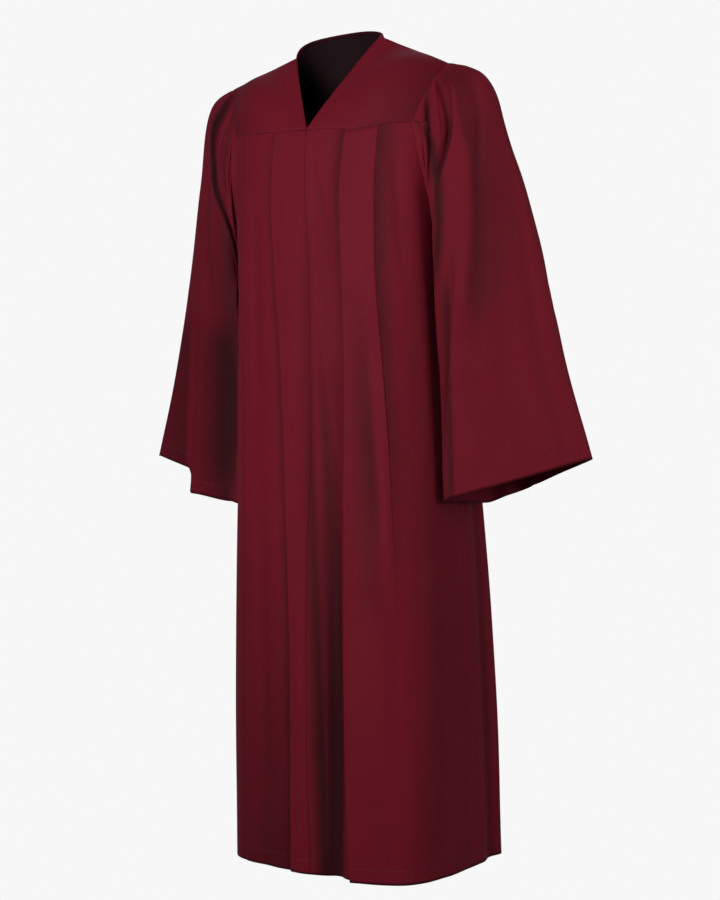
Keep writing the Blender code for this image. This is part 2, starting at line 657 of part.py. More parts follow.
def build_gown():
    """All the cut pieces of the gown, in one collection."""
    for old in list(bpy.data.objects):
        bpy.data.objects.remove(old)
    collection = bpy.data.collections.new("graduation_gown")
    bpy.context.scene.collection.children.link(collection)

    fronts = {side: front_panel(side) for side in ("left", "right")}
    yokes = {side: front_yoke(side, fronts[side][0][0], fronts[side][1][0]) for side in fronts}
    back = back_panel()
    rear = back_yoke(back[0][0], back[1][0])
    sleeves = {}
    for side in fronts:
        sleeves[side] = join_sleeve(side, yokes[side], fronts[side], back, rear)
    join_straight_seams(yokes, fronts, back, rear)

    for side in fronts:
        cloth_wall("yoke_front_" + side, *yokes[side], collection)
        cloth_wall("front_" + side, *fronts[side], collection)
        cloth_wall("sleeve_" + side, *sleeves[side], collection, closed=True)
    cloth_wall("yoke_back", *rear, collection)
    cloth_wall("back", *back, collection)


build_gown()
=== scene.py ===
"""A graduation gown as worn on an invisible figure: its sewn cloth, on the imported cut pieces.

Metres, +Z up. The origin lies midway between the side neck points, +X is the wearer's left and -Y
the wearer's front. A drop is a distance below the origin, and a girth is a distance round the body
from the middle of its front, to the wearer's left.
"""

import math

import bpy
import numpy as np
from mathutils import Matrix, Vector


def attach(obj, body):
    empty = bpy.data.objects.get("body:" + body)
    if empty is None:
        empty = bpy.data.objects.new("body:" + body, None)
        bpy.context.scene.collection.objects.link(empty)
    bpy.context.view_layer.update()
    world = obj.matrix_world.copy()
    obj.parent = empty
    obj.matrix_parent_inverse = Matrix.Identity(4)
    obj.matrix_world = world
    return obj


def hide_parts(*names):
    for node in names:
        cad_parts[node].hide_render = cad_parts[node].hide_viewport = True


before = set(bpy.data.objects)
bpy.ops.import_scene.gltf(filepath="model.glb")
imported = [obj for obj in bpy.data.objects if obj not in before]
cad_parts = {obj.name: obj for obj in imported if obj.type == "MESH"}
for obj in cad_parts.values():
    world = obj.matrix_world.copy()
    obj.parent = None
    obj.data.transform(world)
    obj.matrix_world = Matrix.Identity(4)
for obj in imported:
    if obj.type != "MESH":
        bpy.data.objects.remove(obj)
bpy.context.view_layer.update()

# Camera
# The photo is taken from the wearer's left front, 2.7 m away and a little below the gown's middle,
# with the camera tilted down by one degree.
VIEW_TURN = math.radians(35)
VIEW_TILT = math.radians(89)
VIEW_DISTANCE = 2.714
VIEW_ASIDE = 0.0358
VIEW_HEIGHT = -0.592
VIEW_LENS = 68.2

lens = bpy.data.cameras.new("photo_lens")
lens.lens = VIEW_LENS
camera = bpy.data.objects.new("photo_camera", lens)
bpy.context.collection.objects.link(camera)
to_eye = Vector((math.sin(VIEW_TURN), -math.cos(VIEW_TURN), 0)) * VIEW_DISTANCE
aside = Vector((math.cos(VIEW_TURN), math.sin(VIEW_TURN), 0)) * VIEW_ASIDE
eye = to_eye + aside + Vector((0, 0, VIEW_HEIGHT))
camera.matrix_world = (
    Matrix.Translation(eye) @ Matrix.Rotation(VIEW_TURN, 4, "Z") @ Matrix.Rotation(VIEW_TILT, 4, "X")
)
bpy.context.scene.camera = camera


# Body's form
# The two fronts and the back hang from the yokes round one hollow, as if round a body. Its level
# sections grow deeper and squarer towards the hem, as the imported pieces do.
def table(names, *rows):
    """A short table: one array for each named column, one row for each section or fold."""
    return dict(zip(names.split(), np.array(rows, dtype=float).T))


YOKE_DROP = 0.142
BACK_YOKE_DROP = 0.150
ARMPIT_DROP = 0.335
HEM_DROP = 1.295

BODY = table(
    "drop  centre  half_width front  back  front_square back_square",
    (0.142, 0.000, 0.200, -0.083, 0.118, 2.4, 2.6),
    (0.220, 0.000, 0.194, -0.093, 0.135, 2.5, 2.6),
    (0.335, 0.001, 0.184, -0.097, 0.150, 2.8, 2.6),
    (0.500, 0.003, 0.179, -0.101, 0.176, 3.2, 2.6),
    (0.720, 0.005, 0.182, -0.102, 0.212, 3.4, 2.8),
    (1.000, 0.007, 0.186, -0.099, 0.241, 3.5, 2.9),
    (1.295, 0.009, 0.190, -0.094, 0.257, 3.7, 2.8),
)
ARMHOLE = table(
    "drop  front  back",
    (0.142, 0.072, 0.066),
    (0.200, 0.062, 0.056),
    (0.260, 0.042, 0.040),
    (0.305, 0.020, 0.020),
    (0.335, 0.000, 0.000),
)
NORMAL_STEP = 0.003
ROUND = np.radians(np.linspace(-180.0, 180.0, 1441))
SIDES = np.radians([-90, 90])
SIGN = {"left": 1, "right": -1}
IN_PAIR = {"right": 0, "left": 1}


def smooth_curve(at, knots, values):
    """Smooth curve through values, or whole points, that are given at rising knots."""
    at = np.atleast_1d(np.asarray(at, dtype=float))
    knots = np.asarray(knots, dtype=float)
    values = np.asarray(values, dtype=float)
    shape = (-1,) + (1,) * (values.ndim - 1)
    widths = np.diff(knots).reshape(shape)
    chords = np.diff(values, axis=0) / widths
    slopes = np.empty_like(values)
    slopes[0] = chords[0]
    slopes[-1] = chords[-1]
    slopes[1:-1] = (widths[1:] * chords[:-1] + widths[:-1] * chords[1:]) / (widths[:-1] + widths[1:])
    span = np.clip(np.searchsorted(knots, at, side="right") - 1, 0, len(knots) - 2)
    width = widths[span]
    t = ((at - knots[span]) / np.diff(knots)[span]).reshape(shape)
    rise = values[span + 1] - values[span]
    start = slopes[span] * width
    end = slopes[span + 1] * width
    return values[span] + t * (start + t * (3 * rise - 2 * start - end + t * (start + end - 2 * rise)))


def read(rows, name, at):
    """A table's column at one place along its first column."""
    return smooth_curve(at, next(iter(rows.values())), rows[name])[0]


def unit(vectors):
    """The same directions with length 1."""
    return vectors / np.maximum(np.linalg.norm(vectors, axis=-1, keepdims=True), 1e-9)


def ease(at, width):
    """Rises smoothly from 0 at zero to 1 at the width."""
    t = np.clip(np.asarray(at, dtype=float) / width, 0, 1)
    return t * t * (3 - 2 * t)


def section(drop):
    """The body's level outline at a drop: x, y, the girth there and the girth of the side seams."""
    size = {name: read(BODY, name, drop) for name in BODY}
    depth = (size["back"] - size["front"]) / 2
    square = np.where(np.cos(ROUND) > 0, size["front_square"], size["back_square"])
    across = np.abs(np.sin(ROUND) / size["half_width"]) ** square
    along = np.abs(np.cos(ROUND) / depth) ** square
    reach = (across + along) ** (-1 / square)
    x = size["centre"] + reach * np.sin(ROUND)
    y = (size["front"] + size["back"]) / 2 - reach * np.cos(ROUND)
    girth = np.concatenate([[0], np.cumsum(np.hypot(np.diff(x), np.diff(y)))])
    girth -= np.interp(0.0, ROUND, girth)
    return x, y, girth, np.interp(SIDES, ROUND, girth)


def armhole_edges(drop):
    """Girths where the fronts and the back end at this drop, as (right, left) pairs."""
    sides = section(drop)[3]
    inward = np.array([1, -1])
    at = min(drop, ARMPIT_DROP)
    return sides + inward * read(ARMHOLE, "front", at), sides - inward * read(ARMHOLE, "back", at)


def body_row(drop, girths):
    """Points of the smooth body at one drop, with their level outward normals."""
    x, y, girth = section(drop)[:3]
    whole = girth[-1] - girth[0]
    before, at, after = (
        [np.interp(girths + shift, girth, values, period=whole) for values in (x, y)]
        for shift in (-NORMAL_STEP, 0, NORMAL_STEP)
    )
    level = np.zeros(len(girths))
    points = np.stack([*at, level - drop], axis=-1)
    normals = np.stack([after[1] - before[1], before[0] - after[0], level], axis=-1)
    return points, unit(normals)


# Cloth
# Closely woven polyester, dyed dark red all through. It is matt with a soft sheen, and its threads,
# its slight crumple and the stitching along its hems and seams show as low relief. Shade is painted
# into its colour deep in folds, where the soft lights alone would leave them too pale.
CLOTH_WALL = 0.0009
CLOTH_RED = (0.145, 0.0045, 0.0140, 1)
WORN_RED = (0.166, 0.0060, 0.0172, 1)
THREAD_RED = (0.200, 0.020, 0.034, 1)
INSIDE_SHADE_BLACK = (0.016, 0.006, 0.008, 1)
# Painted shade: the colour towards which cloth deep in a fold is darkened
PAINTED_SHADE_RED = (0.020, 0.0020, 0.0036, 1)
FOLD_SPREAD = 0.013
FOLD_BELL = np.exp(-((np.arange(-40, 41) / 1000 / FOLD_SPREAD) ** 2) / 2)
DARKEST_FOLD = 0.0070
FOLD_SHADE = 0.95
HEM_SHADE = 0.8
# Painted shade for cloth that lies hidden under a pleat
HIDDEN_SHADE = 0.8
THREAD_PITCH = 0.0006
THREAD_RELIEF = 0.00003
STITCH_LENGTH = 0.0032
STITCH_WIDTH = 0.0005
STITCH_RELIEF = 0.0003
CHANNEL_WIDTH = 0.0020
CHANNEL_RELIEF = 0.00018
SLUB_RELIEF = 0.00006
CRUMPLE_RELIEF = 0.0011


class Field:
    """A number that varies over the cloth. Arithmetic on fields adds Math nodes."""

    def __init__(self, tree, socket):
        self.tree = tree
        self.socket = socket

    def node(self, kind, output=0, settings=None, **inputs):
        """Any other node: its settings are made first, then its sockets get values or links."""
        made = self.tree.nodes.new(kind)
        for name, value in (settings or {}).items():
            setattr(made, name, value)
        for name, value in inputs.items():
            socket = made.inputs[int(name[1:]) if name[1:].isdigit() else name.replace("_", " ")]
            if isinstance(value, Field):
                self.tree.links.new(value.socket, socket)
            else:
                socket.default_value = value
        return Field(self.tree, made.outputs[output])

    def math(self, operation, first, second):
        return self.node("ShaderNodeMath", settings={"operation": operation}, s0=first, s1=second)

    def __add__(self, other):
        return self.math("ADD", self, other)

    def __sub__(self, other):
        return self.math("SUBTRACT", self, other)

    def __rsub__(self, other):
        return self.math("SUBTRACT", other, self)

    def __mul__(self, other):
        return self.math("MULTIPLY", self, other)

    def __lt__(self, other):
        return self.math("LESS_THAN", self, other)

    def __abs__(self):
        return self.math("ABSOLUTE", self, 0.0)

    def sine(self):
        return self.math("SINE", self, 0.0)

    def noise(self, scale, detail):
        """Soft noise about zero, over coordinates."""
        wide = self.node("ShaderNodeTexNoise", Vector=self, Scale=scale, Detail=detail, Roughness=0.55)
        return wide - 0.5

    def stretched(self, across, along):
        """Coordinates scaled apart, so that a pattern is drawn out along the cloth."""
        return self.node("ShaderNodeMapping", Vector=self, Scale=(across, along, 1.0))

    def attribute(self, name):
        """A number that each point of the mesh carries."""
        return self.node("ShaderNodeAttribute", output="Fac", settings={"attribute_name": name})

    def mix(self, none, full):
        """A colour that goes from the first where this field is 0 to the second where it is 1."""
        return self.node("ShaderNodeMix", output=2, settings={"data_type": "RGBA"}, s0=self, s6=none, s7=full)


def finish(name, **looks):
    """A new material, with these values in its shader, and the shader itself."""
    material = bpy.data.materials.new(name)
    material.use_nodes = True
    shader = material.node_tree.nodes["Principled BSDF"]
    for look, value in looks.items():
        shader.inputs[look.replace("_", " ")].default_value = value
    return material, shader


def gown_cloth():
    """The gown's dyed and woven cloth, with shade painted into its colour in folds."""
    material, shader = finish(
        "gown_polyester",
        Specular_IOR_Level=0.12,
        Sheen_Weight=0.08,
        Sheen_Roughness=0.35,
        Sheen_Tint=(0.85, 0.42, 0.75, 1),
    )
    tree = material.node_tree
    start = Field(tree, None)
    cut = start.node("ShaderNodeUVMap", settings={"uv_map": "cut"})
    place = start.node("ShaderNodeTexCoord", output="Object")
    across = cut.node("ShaderNodeSeparateXYZ", output="X", Vector=cut)
    along = cut.node("ShaderNodeSeparateXYZ", output="Y", Vector=cut)
    from_stitches = start.attribute("stitches")

    thread_turn = 2 * math.pi / THREAD_PITCH
    weave = (across * thread_turn).sine() * (along * thread_turn).sine()
    slub = cut.stretched(1500.0, 60.0).noise(1.0, 2.0)
    crumple = cut.stretched(22.0, 5.0).noise(1.0, 3.0)
    worn = place.noise(9.0, 4.0)

    sewn = abs(from_stitches) < STITCH_WIDTH
    dashes = ((across + along) * (2 * math.pi / STITCH_LENGTH)).sine()
    thread = sewn * (dashes < 0.3)
    channel = abs(from_stitches) < CHANNEL_WIDTH
    relief = weave * THREAD_RELIEF + slub * SLUB_RELIEF + crumple * CRUMPLE_RELIEF
    relief = relief + thread * STITCH_RELIEF - channel * CHANNEL_RELIEF

    dye_and_painted_shade = (worn * 1.4 + 0.4).mix(CLOTH_RED, WORN_RED)
    dye_and_painted_shade = thread.mix(dye_and_painted_shade, THREAD_RED)
    # Painted shade, mixed in by the shade that each point carries
    dye_and_painted_shade = (start.attribute("painted_shade") * FOLD_SHADE).mix(dye_and_painted_shade, PAINTED_SHADE_RED)
    gloss = 0.70 - slub * 0.10 - worn * 0.12
    bumps = start.node("ShaderNodeBump", Height=relief, Distance=1.0, Strength=1.0)
    for field, look in ((dye_and_painted_shade, "Base Color"), (gloss, "Roughness"), (bumps, "Normal")):
        tree.links.new(field.socket, shader.inputs[look])
    return material


GOWN_CLOTH = gown_cloth()
# Painted shade: the wrong side of the yokes' cloth is made nearly black, for the shade inside them
INSIDE_SHADE_FINISH = finish("gown_inside_painted_shade", Base_Color=INSIDE_SHADE_BLACK, Roughness=0.8, Specular_IOR_Level=0.1)[0]


def painted_fold_shade(places, out, shown=None, closed=False):
    """Painted shade at each place of a row, from 0 to 1, by how deep it lies in a fold against the cloth
    beside it.
    """
    shown = np.ones(len(out), dtype=bool) if shown is None else shown
    order = np.argsort(places[shown])
    known, heights = places[shown][order], out[shown][order]
    if closed:
        whole = known[-1] + known[1] - 2 * known[0]
        known = np.concatenate([known - whole, known, known + whole])
        heights = np.tile(heights, 3)
    even = np.arange(known[0] - 4 * FOLD_SPREAD, known[-1] + 4 * FOLD_SPREAD, 0.001)
    around = np.convolve(np.interp(even, known, heights), FOLD_BELL / FOLD_BELL.sum(), mode="same")
    depth = np.interp(places, even, around) - out
    return np.where(shown, np.clip(depth / DARKEST_FOLD, 0, 1), HIDDEN_SHADE)


def cloth_piece(
    name, points, outward, cut, stitches, folds=None, closed=False, wall=CLOTH_WALL, shaded_inside=False
):
    """A cut piece as a thin shell over its grid of points.

    Its flat cut gives the UVs in metres, and each point carries its distance from a line of
    stitching and its painted shade, which is deepest in folds.
    """
    rows, columns = points.shape[:2]
    spans = columns if closed else columns - 1
    row, column = (grid.ravel() for grid in np.mgrid[: rows - 1, :spans])
    after = (column + 1) % columns
    corners = [
        (row, column, column),
        (row + 1, column, column),
        (row + 1, after, column + 1),
        (row, after, column + 1),
    ]
    faces = np.stack([r * columns + c for r, c, _ in corners], axis=-1)
    spread = np.stack([cut[r, c] for r, _, c in corners], axis=1)
    down = points[1:, :spans] - points[:-1, :spans]
    over = points[:-1, np.arange(1, spans + 1) % columns] - points[:-1, :spans]
    if np.sum(np.cross(down, over) * outward[:-1, :spans]) < 0:
        faces = faces[:, ::-1]
        spread = spread[:, ::-1]
    mesh = bpy.data.meshes.new(name)
    mesh.from_pydata(points.reshape(-1, 3).tolist(), [], faces.tolist())
    mesh.uv_layers.new(name="cut").data.foreach_set("uv", spread.ravel())
    mesh.attributes.new("stitches", "FLOAT", "POINT").data.foreach_set("value", stitches.ravel())
    if folds is not None:
        # Painted shade along the turned edge of the hem or cuff, unless the inside is shaded
        folds[-1] = np.maximum(folds[-1], 0 if shaded_inside else HEM_SHADE)
        mesh.attributes.new("painted_shade", "FLOAT", "POINT").data.foreach_set("value", folds.ravel())
    mesh.materials.append(GOWN_CLOTH)
    piece = bpy.data.objects.new(name, mesh)
    bpy.context.collection.objects.link(piece)
    bpy.ops.object.select_all(action="DESELECT")
    bpy.context.view_layer.objects.active = piece
    piece.select_set(True)
    shell = piece.modifiers.new("wall", "SOLIDIFY")
    shell.thickness = wall
    shell.offset = -1
    # Painted shade: the inside face gets the nearly black finish
    if shaded_inside:
        mesh.materials.append(INSIDE_SHADE_FINISH)
        shell.material_offset = 1
    bpy.ops.object.modifier_apply(modifier=shell.name)
    bpy.ops.object.shade_smooth()
    return piece


def sew_on(piece, node, rests_on):
    """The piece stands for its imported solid, as one cut of cloth."""
    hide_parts(node)
    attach(piece, "root")


# Fronts
# Two cut lengths of cloth, laid in long pressed pleats under the yoke and joined at the centre
# front by a concealed zip. The pleats open downwards, and the hem is turned up and stitched.
LEVELS = (0.142, 0.250, 0.370, 0.500, 0.620, 0.780, 0.950, 1.120, 1.295)
LEVEL_NAMES = "yoke breast chest waist hip thigh knee calf hem"
PLEAT_GIRTHS = table(
    LEVEL_NAMES,
    (-0.062, -0.062, -0.052, -0.040, -0.033, -0.028, -0.025, -0.026, -0.029),
    (0.071, 0.069, 0.075, 0.080, 0.080, 0.078, 0.076, 0.077, 0.083),
    (0.126, 0.126, 0.129, 0.140, 0.149, 0.156, 0.160, 0.160, 0.160),
    (-0.136, -0.130, -0.129, -0.127, -0.126, -0.126, -0.127, -0.128, -0.128),
)
PLEAT_DEPTHS = table(
    LEVEL_NAMES,
    (0.0040, 0.0050, 0.0060, 0.0070, 0.0080, 0.0090, 0.0095, 0.0085, 0.0065),
    (0.0040, 0.0045, 0.0055, 0.0070, 0.0090, 0.0120, 0.0145, 0.0150, 0.0140),
    (0.0028, 0.0029, 0.0029, 0.0029, 0.0026, 0.0012, 0.0000, 0.0000, 0.0000),
    (0.0025, 0.0035, 0.0040, 0.0040, 0.0040, 0.0040, 0.0030, 0.0020, 0.0015),
)
PLEAT_SHAPES = table(
    "side  edge   left_spread right_spread",
    (1, 0.0020, 0.040, 0.050),
    (1, 0.0020, 0.050, 0.034),
    (-1, 0.0030, 0.040, 0.030),
    (1, 0.0035, 0.030, 0.030),
)
# Painted shade on the under side of each pleat along its edge, and how far this spreads
PLEAT_SHADES = table(
    LEVEL_NAMES,
    (0.12, 0.20, 0.32, 0.38, 0.42, 0.60, 0.80, 0.90, 0.90),
    (0.55, 0.45, 0.30, 0.20, 0.12, 0.00, 0.00, 0.00, 0.00),
    (0.55, 0.55, 0.48, 0.42, 0.38, 0.15, 0.00, 0.00, 0.00),
    (0.06, 0.06, 0.06, 0.06, 0.04, 0.00, 0.00, 0.00, 0.00),
)
SHADE_SPREAD = (0.007, 0.012, 0.022, 0.010)

# Soft rolls (depth above zero) and troughs (below) of the fronts, each along a line from a start
# drop to an end drop, with its girth at the start, the middle and the end
ROLLS = table(
    "start end   start_girth middle_girth end_girth  depth   left   right",
    (0.16, 0.32, 0.010, 0.032, 0.052, -0.0012, 0.005, 0.010),
    (0.47, 0.68, 0.040, 0.054, 0.065, 0.0012, 0.004, 0.005),
    (0.44, 0.78, 0.108, 0.120, 0.131, -0.0028, 0.012, 0.020),
    (0.62, 0.84, 0.141, 0.146, 0.150, 0.0016, 0.005, 0.006),
    (0.50, 1.90, 0.058, 0.052, 0.044, -0.0150, 0.016, 0.022),
    (0.82, 1.40, 0.042, 0.038, 0.034, 0.0018, 0.004, 0.004),
    (0.72, 1.50, 0.004, 0.000, -0.006, 0.0045, 0.016, 0.020),
    (0.10, 1.90, 0.215, 0.200, 0.188, 0.0020, 0.030, 0.055),
    (0.20, 0.60, -0.098, -0.092, -0.084, -0.0020, 0.012, 0.014),
    (0.55, 1.40, -0.088, -0.080, -0.082, -0.0035, 0.018, 0.020),
    (0.70, 1.50, -0.185, -0.180, -0.176, 0.0060, 0.040, 0.018),
    (0.80, 1.50, -0.300, -0.292, -0.288, -0.0040, 0.022, 0.022),
    (0.15, 0.40, 0.152, 0.160, 0.172, -0.0016, 0.008, 0.008),
)
# Shade in the fronts' folds, which light reaches less, along lines that are given in the same way
SHADES = table(
    "start end  start_girth middle_girth end_girth  start_dark middle_dark end_dark  left right",
    (0.28, 1.32, 0.0140, 0.0245, 0.0340, 0.10, 0.62, 0.90, 0.0045, 0.014),
    (0.42, 0.86, 0.0340, 0.0435, 0.0520, 0.00, 0.45, 0.08, 0.0090, 0.008),
    (0.62, 1.40, 0.0520, 0.0500, 0.0440, 0.00, 0.85, 0.90, 0.0160, 0.022),
    (0.72, 1.32, -0.030, -0.0260, -0.034, 0.00, 0.28, 0.62, 0.0015, 0.150),
    (0.38, 0.92, 0.1060, 0.1230, 0.1340, 0.05, 0.48, 0.10, 0.0080, 0.026),
    (0.20, 1.32, 0.1890, 0.1935, 0.1850, 0.05, 0.06, 0.10, 0.3000, 0.004),
)
CLOSURE_GIRTHS = (0.000, 0.006, 0.014, 0.017, 0.018, 0.012, 0.008, 0.007, 0.008)
ZIP_WELT = 0.0065
PLEAT_TOP_FADE = 0.007
SEAM_FADE = 0.030
SEAM_DIP = 0.0007
HEM_STITCH = 0.022
FRONT_ROWS = 240
YOKE_LIFT = {"left": 0.0, "right": 0.008}
FRONT_PLEATS = {"left": (1, 2), "right": (0, 3)}
FRONT_COLUMNS = {"left": (30, 24, 84), "right": (26, 30, 60)}
# Rows lie closer together near the yoke
FRONT_DROPS = YOKE_DROP + (HEM_DROP - YOKE_DROP) * np.linspace(0, 1, FRONT_ROWS) ** 1.12
SEAM_GAP = 0.00003
ZIP_LAP = 0.004
ZIP_DEPTH = 0.0013

SEAM_WIDTH = 0.002
CLOSURE_WIDTH = 0.0012
WELT_WIDTH = 0.0010
WELT_DIP = 0.8
EDGE_RELIEF = 0.25

# The path of a pressed pleat's cloth: under the upper layer, back to the pressed edge and over it.
# The first number runs towards the upper layer, and the second is the height of the return layer
# or, after it, the share of the way up to the upper one.
PLEAT_REACH = 0.0100
RETURN_HEIGHT = 0.0014
PLEAT_UNDER = np.array([-9.0, -6.0, -4.0, -2.5, -1.2, -0.3, 0.6, 2.0, 4.0, 5.3]) / 1000
PLEAT_RETURN = np.array([5.8, 5.3, 4.0, 2.6, 1.7]) / 1000
PLEAT_RETURN_RISE = np.array([0.5, 1.0, 1.0, 1.0, 1.0])
PLEAT_BEND = np.radians([-60, -30, 0, 30, 60, 90])
PLEAT_EDGE = 0.0011
PLEAT_UPPER = np.array([2.3, 3.8, 6.0, 9.0]) / 1000
THIN_PLEAT = 0.0030
PLEAT_OPENING = 0.0012

# How far the yoke seam hangs below its straight line, over girth
YOKE_WAVE = table(
    "girth  dip",
    (-0.150, 0.000),
    (0.000, 0.000),
    (0.045, 0.002),
    (0.085, 0.007),
    (0.115, 0.004),
    (0.140, 0.000),
    (0.200, 0.000),
)


def walked(points, axis):
    """Distance walked over the cloth along an axis of its grid."""
    steps = np.linalg.norm(np.diff(points, axis=axis), axis=-1)
    start = np.zeros_like(np.take(steps, [0], axis=axis))
    return np.concatenate([start, np.cumsum(steps, axis=axis)], axis=axis)


def pleat_path(depth, pressed):
    """Places across a pleat's edge, towards its upper layer, and which layer each one is in."""
    base = RETURN_HEIGHT / max(depth, RETURN_HEIGHT)
    bend = PLEAT_EDGE * (1 - np.cos(PLEAT_BEND))
    over = np.concatenate([PLEAT_UNDER, PLEAT_RETURN, bend, PLEAT_UPPER])
    rise = np.concatenate([
        np.zeros(len(PLEAT_UNDER)),
        base * PLEAT_RETURN_RISE,
        base + (1 - base) * (1 + np.sin(PLEAT_BEND)) / 2,
        np.ones(len(PLEAT_UPPER)),
    ])
    flat = np.linspace(over[0], over[-1], len(over))
    return flat + pressed * (over - flat), np.where(flat > 0, 1, 0) * (1 - pressed) + pressed * rise


def fold_height(from_edge, depth, side, edge, left_spread, right_spread):
    """How far cloth stands out at a distance to the wearer's left of a fold's line."""
    spread = np.where(from_edge > 0, left_spread, right_spread)
    if side == 0:
        return depth * np.exp(-((from_edge / spread) ** 2))
    upper = ease(side * from_edge / edge + 0.5, 1.0)
    return depth * np.exp(-np.abs(from_edge) / spread) * (upper - 0.5)


def unevenness(drop, girths):
    """Slight waviness of cloth that hangs free, different from place to place."""
    long_wave = np.sin(girths * 61 + 2.2 * np.sin(drop * 5.1)) * np.sin(drop * 3.7 + 0.6)
    short_wave = np.sin(girths * 137 + 1.4 * np.sin(drop * 8.3) + 1.9) * np.sin(drop * 6.1 + 2.0)
    return 0.0011 * long_wave + 0.0005 * short_wave


def pleat_value(drop, pleat, values):
    """A pleat's girth or depth at a drop."""
    return smooth_curve(drop, LEVELS, [values[name][pleat] for name in LEVEL_NAMES.split()])[0]


def reaching(at, lines):
    """Each line that runs past this place, with its share of the way from start to end."""
    shares = (at - lines["start"]) / (lines["end"] - lines["start"])
    return [(i, share) for i, share in enumerate(shares) if 0 < share < 1]


def bent(lines, i, of, share):
    """A line's girth or darkness at a share of its length."""
    given = [lines[place + of][i] for place in ("start", "middle", "end")]
    return smooth_curve(share, (0, 0.5, 1), given)[0]


def front_relief(drop, girths, layers, near):
    """How far the pleats, rolls and troughs of the fronts push the cloth out at one drop."""
    out = unevenness(drop, girths)
    for pleat in range(len(PLEAT_SHAPES["side"])):
        from_edge = girths - pleat_value(drop, pleat, PLEAT_GIRTHS)
        depth = pleat_value(drop, pleat, PLEAT_DEPTHS)
        side, edge, left_spread, right_spread = (values[pleat] for values in PLEAT_SHAPES.values())
        if pleat in layers:
            upper = np.where(near == pleat, layers[pleat], side * from_edge > 0)
            hidden = (near == pleat) & (side * from_edge > 0) & (upper < 0.99)
            spread = np.where(from_edge > 0, left_spread, right_spread)
            fall = np.where(hidden, 1.0, np.exp(-np.abs(from_edge) / spread))
            out += depth * fall * (upper - 0.5)
        else:
            out += fold_height(from_edge, depth, side, edge, left_spread, right_spread)
    for i, share in reaching(drop, ROLLS):
        depth = ROLLS["depth"][i] * np.sin(np.pi * share) ** 0.8
        from_line = girths - bent(ROLLS, i, "_girth", share)
        out += fold_height(from_line, depth, 0, 0, ROLLS["left"][i], ROLLS["right"][i])
    return out


def front_shade(drop, girths, folds):
    """How dark each place of a row is, with the shade along the pleats and in the folds added."""
    light = 1 - folds
    for pleat, side in enumerate(PLEAT_SHAPES["side"]):
        under = -side * (girths - pleat_value(drop, pleat, PLEAT_GIRTHS))
        dark = pleat_value(drop, pleat, PLEAT_SHADES) * np.exp(-((under / SHADE_SPREAD[pleat]) ** 2))
        light *= 1 - dark * (under > 0)
    for i, share in reaching(drop, SHADES):
        from_line = girths - bent(SHADES, i, "_girth", share)
        deepest = max(bent(SHADES, i, "_dark", share), 0)
        dark = fold_height(from_line, deepest, 0, 0, SHADES["left"][i], SHADES["right"][i])
        light *= 1 - np.minimum(dark, 1)
    return 1 - light


def front_columns(side, drop, closure, edge):
    """Girths of a front's columns, with the layers of its pleats and the pleat that each is near."""
    sign = SIGN[side]
    pleats = FRONT_PLEATS[side]
    lines = [pleat_value(drop, pleat, PLEAT_GIRTHS) for pleat in pleats]
    stops = [closure, *lines, edge]
    girths, near, paths = [], [], []
    for i, count in enumerate(FRONT_COLUMNS[side]):
        start = stops[i] + (sign * PLEAT_REACH if i else 0)
        end = stops[i + 1] - (sign * PLEAT_REACH if i < len(pleats) else 0)
        girths.append(np.linspace(start, end, count))
        near.append(np.full(count, -1))
        paths.append(np.zeros(count))
        if i < len(pleats):
            pleat = pleats[i]
            depth = pleat_value(drop, pleat, PLEAT_DEPTHS) * ease(drop - YOKE_DROP, PLEAT_TOP_FADE)
            pressed = ease(depth - THIN_PLEAT, PLEAT_OPENING)
            over, upper = pleat_path(depth, pressed)
            towards = PLEAT_SHAPES["side"][pleat]
            if towards != sign:
                over, upper = over[::-1], upper[::-1]
            girths.append(stops[i + 1] + towards * over)
            near.append(np.full(len(over), pleat))
            paths.append(upper)
    layers = {pleat: np.concatenate(paths) for pleat in pleats}
    return np.concatenate(girths), layers, np.concatenate(near)


